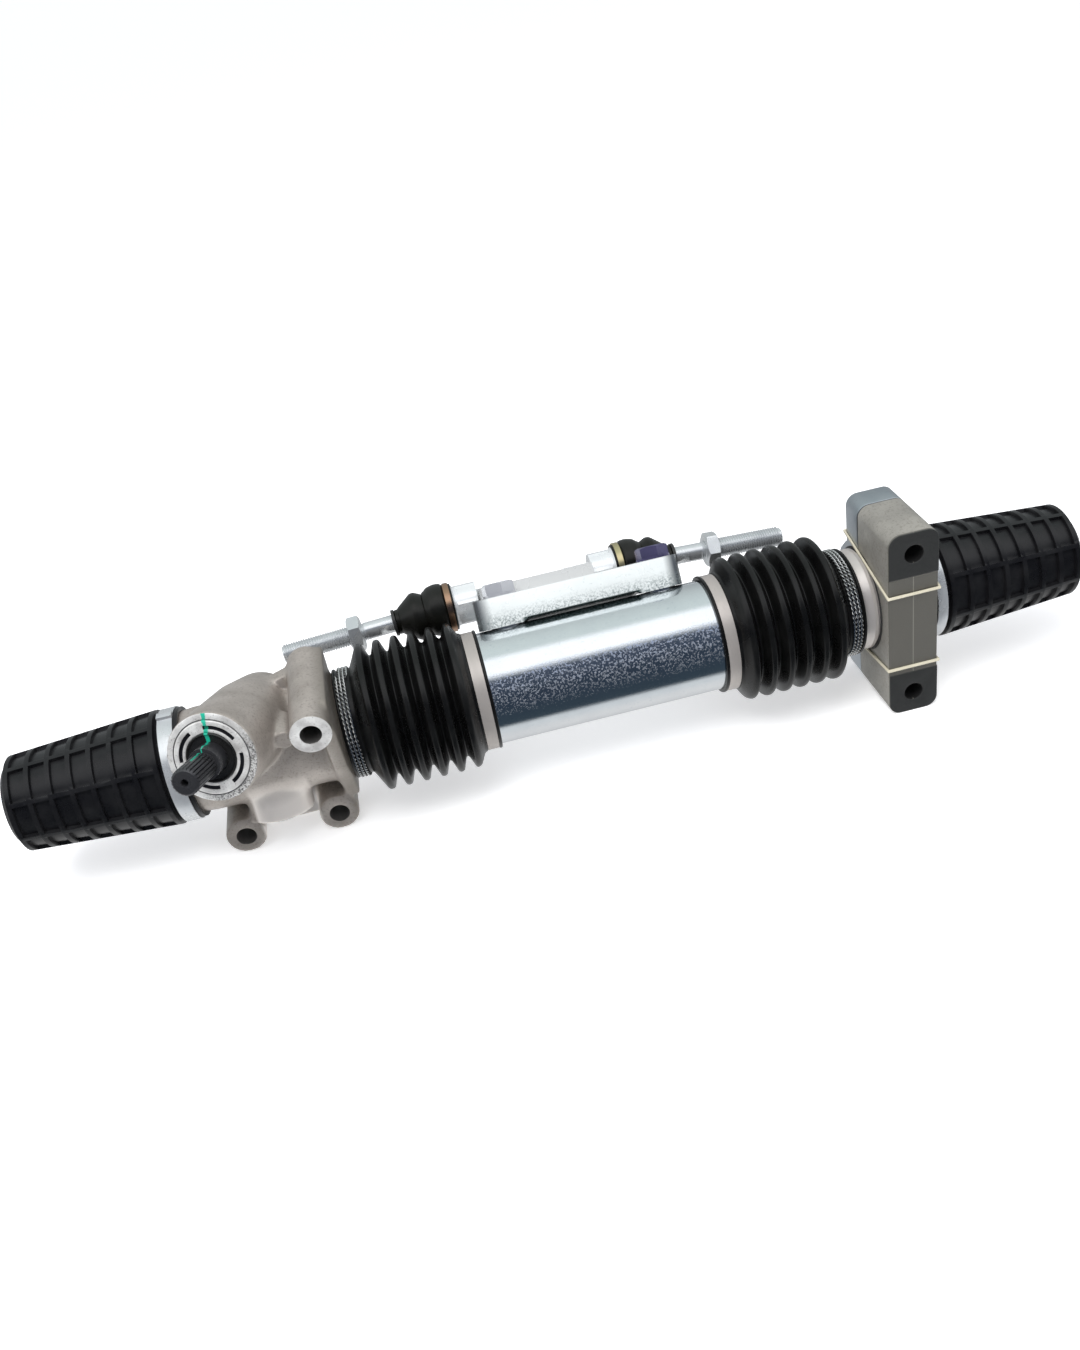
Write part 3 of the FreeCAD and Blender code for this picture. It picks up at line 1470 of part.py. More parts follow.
pinionHousing()
housingTube()
rightEndHousing()
clampBlock()
clampCap()
ring("clamp_bush", "blockLeft + seatGap", "blockLeft + blockWidth - seatGap", "saddleNeckRadius + slideGap",
     "saddleNeckRadius + bushWall", rackFrame())
retainingBands()
rackBushes()
pinionBearings()
retainingRing()
pinionSeal()
pinionShaft()
yokePieces()
spottedRack()
slideSleeve()
slotGuide()
copiesAlongBracket("bolt_spacers", spacer)
copiesAlongBracket("bolt_washers", washer)
copiesAlongBracket("bracket_bolts", bolt)
bracket()
for side in ("left", "right"):
    endCap(side)
    capClamp(side)
    bellows(side)
    steelBand(side)
    tieWire(side)
    sleeveBush(side)
    jointHousing(side)
    ballSeat(side)
    tieRod(side)
    lockNut(side)
    boot(side)
    bootRing(side)
    bootDisc(side)

doc.recompute()
for thing in doc.Objects:
    if "Invalid" in thing.State or "Error" in thing.State:
        raise RuntimeError(thing.Name + " failed: " + ", ".join(thing.State))

os.makedirs("parts", exist_ok=True)
for part in subParts:
    shape = part.Shape
    if shape.isNull() or not shape.isValid() or not shape.Solids:
        raise RuntimeError(part.Label + " has no valid solid")
    shape.exportStep("parts/" + part.Label + ".step")
print(len(subParts), "sub-parts written")
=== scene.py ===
import json
import math

import bmesh
import bpy
import numpy
from mathutils import Matrix, Vector

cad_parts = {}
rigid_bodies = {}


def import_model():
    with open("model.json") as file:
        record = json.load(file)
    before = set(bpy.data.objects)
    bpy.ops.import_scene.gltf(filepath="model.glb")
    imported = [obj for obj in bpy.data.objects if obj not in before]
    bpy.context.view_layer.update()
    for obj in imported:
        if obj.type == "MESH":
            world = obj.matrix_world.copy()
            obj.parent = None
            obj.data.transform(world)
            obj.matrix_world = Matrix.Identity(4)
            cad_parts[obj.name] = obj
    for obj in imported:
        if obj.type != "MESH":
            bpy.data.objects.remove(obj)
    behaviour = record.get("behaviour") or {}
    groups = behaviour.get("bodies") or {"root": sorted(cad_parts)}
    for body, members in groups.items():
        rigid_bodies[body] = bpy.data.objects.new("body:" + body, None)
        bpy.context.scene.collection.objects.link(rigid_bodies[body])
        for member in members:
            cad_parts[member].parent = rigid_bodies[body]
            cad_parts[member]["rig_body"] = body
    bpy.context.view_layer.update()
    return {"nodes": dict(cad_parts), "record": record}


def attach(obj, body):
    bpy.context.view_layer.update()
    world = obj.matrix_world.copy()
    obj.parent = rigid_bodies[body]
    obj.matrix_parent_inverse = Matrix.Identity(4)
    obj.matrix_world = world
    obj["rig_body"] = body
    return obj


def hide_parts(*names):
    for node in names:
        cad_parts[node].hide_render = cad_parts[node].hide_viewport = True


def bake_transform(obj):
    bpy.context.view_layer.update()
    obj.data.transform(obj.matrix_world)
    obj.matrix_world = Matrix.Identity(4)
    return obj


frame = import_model()
nodes = frame["nodes"]
bodyOf = {name: node["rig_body"] for name, node in nodes.items()}
slotOf = {part["node"]: part["material_slot"] for part in frame["record"]["subparts"]}
mm = 0.001

# Place of the rack axis in the row frame, and of the forms that stand on it, millimetres
gear = {
    "axis": (26.1, 12.75, 59.0),
    "bracketTilt": 30.0,
    "rodDroop": 3.0,
    "pinionAxis": (-0.25038, -0.919713, 0.302386),
    "pinionCrossing": (-197.6, 5.403394, 16.434516),
    "leftBall": (-80.0, 52.496788, 28.927103),
    "rightBall": (32.2, 52.496788, 28.927103),
    # a point on each mounting bore of the casting
    "mountBores": ((-163.5, 0, 35.5), (-167.0, 0, -47.4), (-221.8, 0, -47.4)),
}
sides = (("left", -1), ("right", 1))
rightwards = (1, 0, 0)
forwards = (0, -1, 0)
backwards = (0, 1, 0)


def addObject(name, data):
    thing = bpy.data.objects.new(name, data)
    bpy.context.scene.collection.objects.link(thing)
    return thing


# Camera at the photo's angle
cameraPlace = {
    "location": (-0.06158, -0.58892, 0.45162),
    "right": (0.96873, -0.18888, -0.16086),
    "up": (0.23726, 0.51570, 0.82326),
    "back": (-0.07254, -0.83569, 0.54439),
    "lens": 33.117,
    "sensor": 36.0,
    "clip": (0.01, 50.0),
}


def placeCamera(values):
    data = bpy.data.cameras.new("camera")
    data.lens = values["lens"]
    data.sensor_width = values["sensor"]
    data.clip_start, data.clip_end = values["clip"]
    camera = addObject("camera", data)
    columns = [Vector(values[key]).normalized() for key in ("right", "up", "back")]
    turn = Matrix(columns).transposed().to_4x4()
    camera.matrix_world = Matrix.Translation(Vector(values["location"])) @ turn
    bpy.context.scene.camera = camera
    bpy.context.scene.view_settings.view_transform = "Standard"


placeCamera(cameraPlace)
print("camera placed")


# Light: a pale room whose reflections are bright overhead, dark in front and pale below
room = {
    "diffuse": (0.93, 0.95, 1.0),
    "diffuseStrength": 0.66,
    # angle round the rack axis as a share of a full turn: 0 behind, 0.25 below, 0.5 in front
    "stops": [
        (0.00, (0.42, 0.45, 0.46)),
        (0.13, (0.62, 0.63, 0.64)),
        (0.24, (0.80, 0.80, 0.80)),
        (0.32, (0.72, 0.75, 0.77)),
        (0.354, (0.04, 0.06, 0.08)),
        (0.50, (0.03, 0.045, 0.07)),
        (0.62, (0.06, 0.08, 0.12)),
        (0.668, (1.35, 1.38, 1.42)),
        (0.735, (1.30, 1.32, 1.34)),
        (0.775, (0.72, 0.80, 0.79)),
        (1.00, (0.42, 0.45, 0.46)),
    ],
    "lamps": {
        "key": {"place": (-0.25, -0.35, 1.25), "size": 0.9, "power": 17.0},
        "fill": {"place": (0.9, -0.9, 0.5), "size": 0.6, "power": 2.2},
    },
    "lampTarget": (0, 0, 0.05),
}


def link(tree, start, end):
    tree.links.new(start, end)


# A node with its settings; each input is linked where a socket is given, and set otherwise
def addNode(tree, kind, inputs=None, **settings):
    node = tree.nodes.new(kind)
    for name, value in settings.items():
        setattr(node, name, value)
    for key, value in (inputs or {}).items():
        if isinstance(value, bpy.types.NodeSocket):
            link(tree, value, node.inputs[key])
        elif value is not None:
            node.inputs[key].default_value = value
    return node


def mathNode(tree, operation, *values):
    inputs = dict(enumerate(values))
    return addNode(tree, "ShaderNodeMath", inputs, operation=operation).outputs[0]


def times(tree, first, *others):
    for other in others:
        first = mathNode(tree, "MULTIPLY", first, other)
    return first


def background(tree, colour, strength=1.0):
    inputs = {"Color": colour, "Strength": strength}
    return addNode(tree, "ShaderNodeBackground", inputs).outputs[0]


def shaderBlend(tree, share, first, second):
    inputs = {0: share, 1: first, 2: second}
    return addNode(tree, "ShaderNodeMixShader", inputs).outputs[0]


def buildRoom(values):
    world = bpy.data.worlds.new("room")
    bpy.context.scene.world = world
    world.use_nodes = True
    tree = world.node_tree
    tree.nodes.clear()
    place = addNode(tree, "ShaderNodeTexCoord").outputs["Generated"]
    parts = addNode(tree, "ShaderNodeSeparateXYZ", {0: place}).outputs
    angle = mathNode(tree, "ARCTAN2", parts["Z"], times(tree, parts["Y"], -1.0))
    share = mathNode(tree, "ADD", mathNode(tree, "DIVIDE", angle, 2 * math.pi), 0.5)
    ramp = addNode(tree, "ShaderNodeValToRGB", {"Fac": share})
    ramp.color_ramp.interpolation = "EASE"
    elements = ramp.color_ramp.elements
    while len(elements) > 1:
        elements.remove(elements[-1])
    for number, (position, colour) in enumerate(values["stops"]):
        element = elements.new(position) if number else elements[0]
        element.position = position
        element.color = (*colour, 1)
    shine = background(tree, ramp.outputs["Color"])
    soft = background(tree, (*values["diffuse"], 1), values["diffuseStrength"])
    path = addNode(tree, "ShaderNodeLightPath").outputs
    inner = shaderBlend(tree, path["Is Glossy Ray"], soft, shine)
    seen = mathNode(tree, "MAXIMUM", path["Is Camera Ray"], path["Is Transmission Ray"])
    outer = shaderBlend(tree, seen, inner, background(tree, (1, 1, 1, 1)))
    addNode(tree, "ShaderNodeOutputWorld", {"Surface": outer})


def addLamp(name, values, target):
    data = bpy.data.lights.new(name, "AREA")
    data.size = values["size"]
    data.energy = values["power"]
    lamp = addObject(name, data)
    lamp.location = values["place"]
    lamp.rotation_mode = "QUATERNION"
    way = Vector(target) - Vector(values["place"])
    lamp.rotation_quaternion = way.to_track_quat("-Z", "Y")
    lamp.visible_glossy = False
    lamp.visible_camera = False


buildRoom(room)
for name, values in room["lamps"].items():
    addLamp(name, values, room["lampTarget"])
print("light built")


# Materials. Every pattern is laid on object coordinates, which are the row frame in metres.
def newMaterial(name, colour, metallic, roughness, specular=0.5):
    material = bpy.data.materials.new(name)
    material.use_nodes = True
    material.diffuse_color = (*colour, 1)
    tree = material.node_tree
    inputs = tree.nodes["Principled BSDF"].inputs
    inputs["Base Color"].default_value = (*colour, 1)
    inputs["Metallic"].default_value = metallic
    inputs["Roughness"].default_value = roughness
    inputs["Specular IOR Level"].default_value = specular
    return material, tree, inputs


def objectPlace(tree, stretch=(1, 1, 1)):
    place = addNode(tree, "ShaderNodeTexCoord").outputs["Object"]
    inputs = {"Vector": place, "Scale": stretch}
    return addNode(tree, "ShaderNodeMapping", inputs).outputs["Vector"]


def noise(tree, vector, scale, detail=4.0, roughness=0.55):
    inputs = {"Vector": vector, "Scale": scale, "Detail": detail, "Roughness": roughness}
    return addNode(tree, "ShaderNodeTexNoise", inputs).outputs["Fac"]


def spread(tree, value, low, high, start=0.3, end=0.7):
    inputs = {"Value": value, "From Min": start, "From Max": end, "To Min": low, "To Max": high}
    return addNode(tree, "ShaderNodeMapRange", inputs).outputs["Result"]


def colourBlend(tree, share, first, second):
    colours = [(*value, 1) if isinstance(value, tuple) else value for value in (first, second)]
    inputs = {"Factor": share, 6: colours[0], 7: colours[1]}
    return addNode(tree, "ShaderNodeMix", inputs, data_type="RGBA").outputs[2]


def addBump(tree, height, strength, distance, previous=None):
    inputs = {"Height": height, "Strength": strength, "Distance": distance, "Normal": previous}
    return addNode(tree, "ShaderNodeBump", inputs).outputs["Normal"]


# Vector arithmetic on the object coordinates
def vectorNode(tree, operation, first, second=None):
    node = addNode(tree, "ShaderNodeVectorMath", {0: first, 1: second}, operation=operation)
    return node.outputs["Value" if operation in ("DOT_PRODUCT", "LENGTH") else "Vector"]


def rackOffset(tree, place=(0, 0, 0)):
    start = tuple((gear["axis"][part] + place[part]) * mm for part in range(3))
    return vectorNode(tree, "SUBTRACT", objectPlace(tree), start)


def heightAlong(tree, offset, direction):
    return vectorNode(tree, "DOT_PRODUCT", offset, direction)


def reachFrom(tree, offset, axis):
    return vectorNode(tree, "LENGTH", vectorNode(tree, "CROSS_PRODUCT", offset, axis))


# Shares that grow, fall or hold between two distances in millimetres
def growing(tree, value, start, end):
    return spread(tree, value, 0.0, 1.0, start * mm, end * mm)


def falling(tree, value, start, end):
    return spread(tree, value, 1.0, 0.0, start * mm, end * mm)


def between(tree, value, low, high):
    above = mathNode(tree, "GREATER_THAN", value, low * mm)
    return times(tree, above, mathNode(tree, "LESS_THAN", value, high * mm))


def rising(tree, direction, start, end):
    return growing(tree, heightAlong(tree, rackOffset(tree), direction), start, end)


# Colours that take over beyond a height along a direction; the finishes use them mostly
# for painted shade and painted light. Some hold only within a stretch of X, given by its
# middle and half its length, and some of those only in front of a plane.
toneFade = {"side": 2.0, "plane": 4.0}


def toned(tree, colour, tones):
    for direction, start, end, tone, *limits in tones:
        share = rising(tree, direction, start, end)
        if len(limits) > 2:
            plane = limits[2]
            share = times(tree, share, rising(tree, forwards, plane, plane + toneFade["plane"]))
        if limits:
            middle, half = limits[:2]
            aside = heightAlong(tree, rackOffset(tree, (middle, 0, 0)), rightwards)
            reach = mathNode(tree, "ABSOLUTE", aside)
            share = times(tree, share, falling(tree, reach, half - toneFade["side"], half))
        colour = colourBlend(tree, share, colour, tone)
    return colour


# Stroke of marking paint that runs up the tower's face, over the seal and along the shaft
paint = {
    "up": (0.07942987, 0.29176726, 0.95318558),
    "aside": (-0.96488351, 0.26267709, 0.0),
    "colour": (0.01, 0.36, 0.24),
    "wobbleScale": 260.0,
    "wobble": 3.0,
    "edge": 0.2,
    # where it starts above the shaft's axis, and where it starts and ends along it
    "above": (4.0, 5.0),
    "near": (66.0, 67.0),
    "far": (93.0, 94.0),
}


def painted(tree, colour, width):
    offset = rackOffset(tree, gear["pinionCrossing"])
    shake = mathNode(tree, "SUBTRACT", noise(tree, objectPlace(tree), paint["wobbleScale"]), 0.5)
    wobble = times(tree, shake, paint["wobble"] * mm)
    aside = mathNode(tree, "ADD", heightAlong(tree, offset, paint["aside"]), wobble)
    reach = mathNode(tree, "ABSOLUTE", aside)
    line = falling(tree, reach, width - paint["edge"], width + paint["edge"])
    above = growing(tree, heightAlong(tree, offset, paint["up"]), *paint["above"])
    along = heightAlong(tree, offset, gear["pinionAxis"])
    near = growing(tree, along, *paint["near"])
    far = falling(tree, along, *paint["far"])
    share = times(tree, line, above, near, far)
    return colourBlend(tree, share, colour, paint["colour"]), share


# Shade in the ring nut's arc slots and in the joint round it
def slotShade(tree, values):
    offset = rackOffset(tree, gear["pinionCrossing"])
    along = heightAlong(tree, offset, gear["pinionAxis"])
    reach = reachFrom(tree, offset, gear["pinionAxis"])
    deep = falling(tree, along, *values["depth"])
    slot = times(tree, deep, between(tree, reach, *values["slot"]))
    joint = times(tree, between(tree, reach, *values["joint"]), values["jointShare"])
    return mathNode(tree, "MAXIMUM", slot, joint)


# Zinc plate, brushed and turned steel: fine grain, slow cloudiness and small dark specks.
# These hold where a finish gives no value of its own; a noise is its scale, detail and
# roughness, or the last two where the scale has its own name, and depths are in metres.
plate = {
    "metallic": 1.0,
    "stretch": (1, 1, 1),
    "tones": (),
    "roughSpan": 0.06,
    "cloudScale": 60.0,
    "cloudNoise": (3.0, 0.55),
    "waveStrength": 0.05,
    "waveDepth": 0.0008,
    "grainScale": 1400.0,
    "grainNoise": (2.0, 0.6),
    "grainDepth": 0.00006,
    "speckScale": 900.0,
    "speckNoise": (2.0, 0.7),
    "speckSpan": (0.60, 0.72),
    "speckDepth": 0.3,
    "wearNoise": (950.0, 2.0, 0.7),
    "wearSpan": (0.44, 0.60),
    "wearMost": 0.85,
    "flakeNoise": (850.0, 1.0, 0.6),
    "flakeSpan": (0.50, 0.64),
    "flakeFade": 4.0,
    "flakeFront": 8.0,
}


# Dark flecks where the plate is rough, some only on a ring round the pinion's axis
def wornShare(tree, vector, values):
    worn = values["worn"]
    flecks = noise(tree, vector, *values["wearNoise"])
    share = spread(tree, flecks, 0.0, values["wearMost"], *values["wearSpan"])
    share = times(tree, share, rising(tree, worn["direction"], worn["start"], worn["end"]))
    if "ring" in worn:
        reach = reachFrom(tree, rackOffset(tree, gear["pinionCrossing"]), gear["pinionAxis"])
        share = times(tree, share, between(tree, reach, *worn["ring"]))
    return share


# Flakes of the zinc that show in a band along the sleeve's front
def flakeShare(tree, vector, values):
    sparkle = values["sparkle"]
    end = sparkle["end"]
    flakes = noise(tree, vector, *values["flakeNoise"])
    share = spread(tree, flakes, 0.0, 1.0, *values["flakeSpan"])
    height = heightAlong(tree, rackOffset(tree), sparkle["direction"])
    first = growing(tree, height, sparkle["start"], end)
    last = falling(tree, height, end, end + values["flakeFade"])
    return times(tree, share, first, last, rising(tree, forwards, 0.0, values["flakeFront"]))


def plated(name, values):
    values = {**plate, **values}
    metallic = values["metallic"]
    roughness = values["roughness"]
    material, tree, shader = newMaterial(name, values["colour"], metallic, roughness)
    vector = objectPlace(tree, values["stretch"])
    cloud, grain, speck = (
        noise(tree, vector, values[key + "Scale"], *values[key + "Noise"])
        for key in ("cloud", "grain", "speck")
    )
    tone = colourBlend(tree, spread(tree, cloud, 0.0, 1.0), values["colour"], values["second"])
    specks = spread(tree, speck, 0.0, values["speckDepth"], *values["speckSpan"])
    marked = toned(tree, colourBlend(tree, specks, tone, values["speck"]), values["tones"])
    if "worn" in values:
        share = wornShare(tree, vector, values)
        marked = colourBlend(tree, share, marked, values["worn"]["colour"])
    if "sparkle" in values:
        share = flakeShare(tree, vector, values)
        marked = colourBlend(tree, share, marked, values["sparkle"]["colour"])
        least = values["sparkle"]["metallic"]
        link(tree, spread(tree, share, metallic, least, 0.0, 1.0), shader["Metallic"])
    if "slots" in values:
        shade = slotShade(tree, values["slots"])
        marked = colourBlend(tree, shade, marked, values["slots"]["colour"])
    if "paint" in values:
        marked, share = painted(tree, marked, values["paint"])
        link(tree, spread(tree, share, metallic, 0.0, 0.0, 1.0), shader["Metallic"])
    link(tree, marked, shader["Base Color"])
    span = values["roughSpan"]
    link(tree, spread(tree, cloud, roughness - span, roughness + span), shader["Roughness"])
    wave = addBump(tree, cloud, values["waveStrength"], values["waveDepth"])
    bump = addBump(tree, grain, values["grainStrength"], values["grainDepth"], wave)
    link(tree, bump, shader["Normal"])
    return material


# Sand-cast aluminium: uneven skin, small pits and darker patches, and painted shade inside its
# bores
sandCast = {
    "tones": (),
    "bores": (),
    "patchNoise": (45.0, 4.0),
    "patchSpan": (0.35, 0.65),
    "smoother": 0.07,
    "rougher": 0.08,
    "skinNoise": (420.0, 4.0, 0.6),
    "skinDepth": 0.0003,
    "pitNoise": (700.0, 2.0, 0.7),
    "pitSpan": (0.52, 0.68),
    "pitMost": 0.5,
    "pitStrength": 0.25,
    "pitDepth": 0.0001,
    "boreEdge": 0.1,
    "turnedEdge": 0.2,
}


def seamShare(tree, values):
    aside = heightAlong(tree, rackOffset(tree, values["place"]), rightwards)
    line = falling(tree, mathNode(tree, "ABSOLUTE", aside), *values["width"])
    height = heightAlong(tree, rackOffset(tree), forwards)
    first = growing(tree, height, *values["start"])
    return times(tree, line, first, falling(tree, height, *values["end"]))


def cast(name, values):
    values = {**sandCast, **values}
    metallic = values["metallic"]
    roughness = values["roughness"]
    material, tree, shader = newMaterial(name, values["colour"], metallic, roughness)
    vector = objectPlace(tree)
    patch, grain, pits = (
        noise(tree, vector, *values[key]) for key in ("patchNoise", "skinNoise", "pitNoise")
    )
    patches = spread(tree, patch, 0.0, 1.0, *values["patchSpan"])
    tone = colourBlend(tree, patches, values["colour"], values["second"])
    pitted = spread(tree, pits, 0.0, values["pitMost"], *values["pitSpan"])
    tone = toned(tree, colourBlend(tree, pitted, tone, values["pit"]), values["tones"])
    rough = spread(tree, patch, roughness - values["smoother"], roughness + values["rougher"])
    # painted shade: each bore is darkened inside to the shade colour
    for place, direction, radius in values["bores"]:
        reach = reachFrom(tree, rackOffset(tree, place), direction)
        shadedBore = falling(tree, reach, radius - values["boreEdge"], radius)
        tone = colourBlend(tree, shadedBore, tone, values["shade"])
    if "seam" in values:
        tone = colourBlend(tree, seamShare(tree, values["seam"]), tone, values["seam"]["colour"])
    if "turned" in values:
        turned = values["turned"]
        start = turned["start"]
        share = rising(tree, rightwards, start, start + values["turnedEdge"])
        tone = colourBlend(tree, share, tone, turned["colour"])
        bright = spread(tree, share, metallic, turned["metallic"], 0.0, 1.0)
        link(tree, bright, shader["Metallic"])
        even = spread(tree, share, 1.0, turned["roughness"] / roughness, 0.0, 1.0)
        rough = times(tree, rough, even)
    link(tree, tone, shader["Base Color"])
    link(tree, rough, shader["Roughness"])
    coarse = addBump(tree, grain, values["skinStrength"], values["skinDepth"])
    bump = addBump(tree, pits, values["pitStrength"], values["pitDepth"], coarse)
    link(tree, bump, shader["Normal"])
    return material


# Moulded rubber and plastic: soft sheen with a fine texture and a trace of dust
mould = {
    "specular": 0.5,
    "dustNoise": (70.0, 4.0),
    "dustSpan": (0.4, 0.75),
    "smoother": 0.05,
    "rougher": 0.07,
    "grainNoise": (1100.0, 2.0),
    "grainStrength": 0.08,
    "grainDepth": 0.00005,
}


def moulded(name, values):
    values = {**mould, **values}
    colour = values["colour"]
    roughness = values["roughness"]
    material, tree, shader = newMaterial(name, colour, 0.0, roughness, values["specular"])
    vector = objectPlace(tree)
    dust = noise(tree, vector, *values["dustNoise"])
    grain = noise(tree, vector, *values["grainNoise"])
    dusty = spread(tree, dust, 0.0, 1.0, *values["dustSpan"])
    tone = colourBlend(tree, dusty, colour, values["second"])
    if "paint" in values:
        tone = painted(tree, tone, values["paint"])[0]
    link(tree, tone, shader["Base Color"])
    rough = spread(tree, dust, roughness - values["smoother"], roughness + values["rougher"])
    link(tree, rough, shader["Roughness"])
    bump = addBump(tree, grain, values["grainStrength"], values["grainDepth"])
    link(tree, bump, shader["Normal"])
    return material


# A finish is its maker and its values, here for plated metals and for moulded pieces
def metal(colour, second, speck, roughness, grainStrength, **more):
    return plated, {"colour": colour, "second": second, "speck": speck, "roughness": roughness,
                    "grainStrength": grainStrength, **more}


def moulding(colour, second, roughness, **more):
    return moulded, {"colour": colour, "second": second, "roughness": roughness, **more}


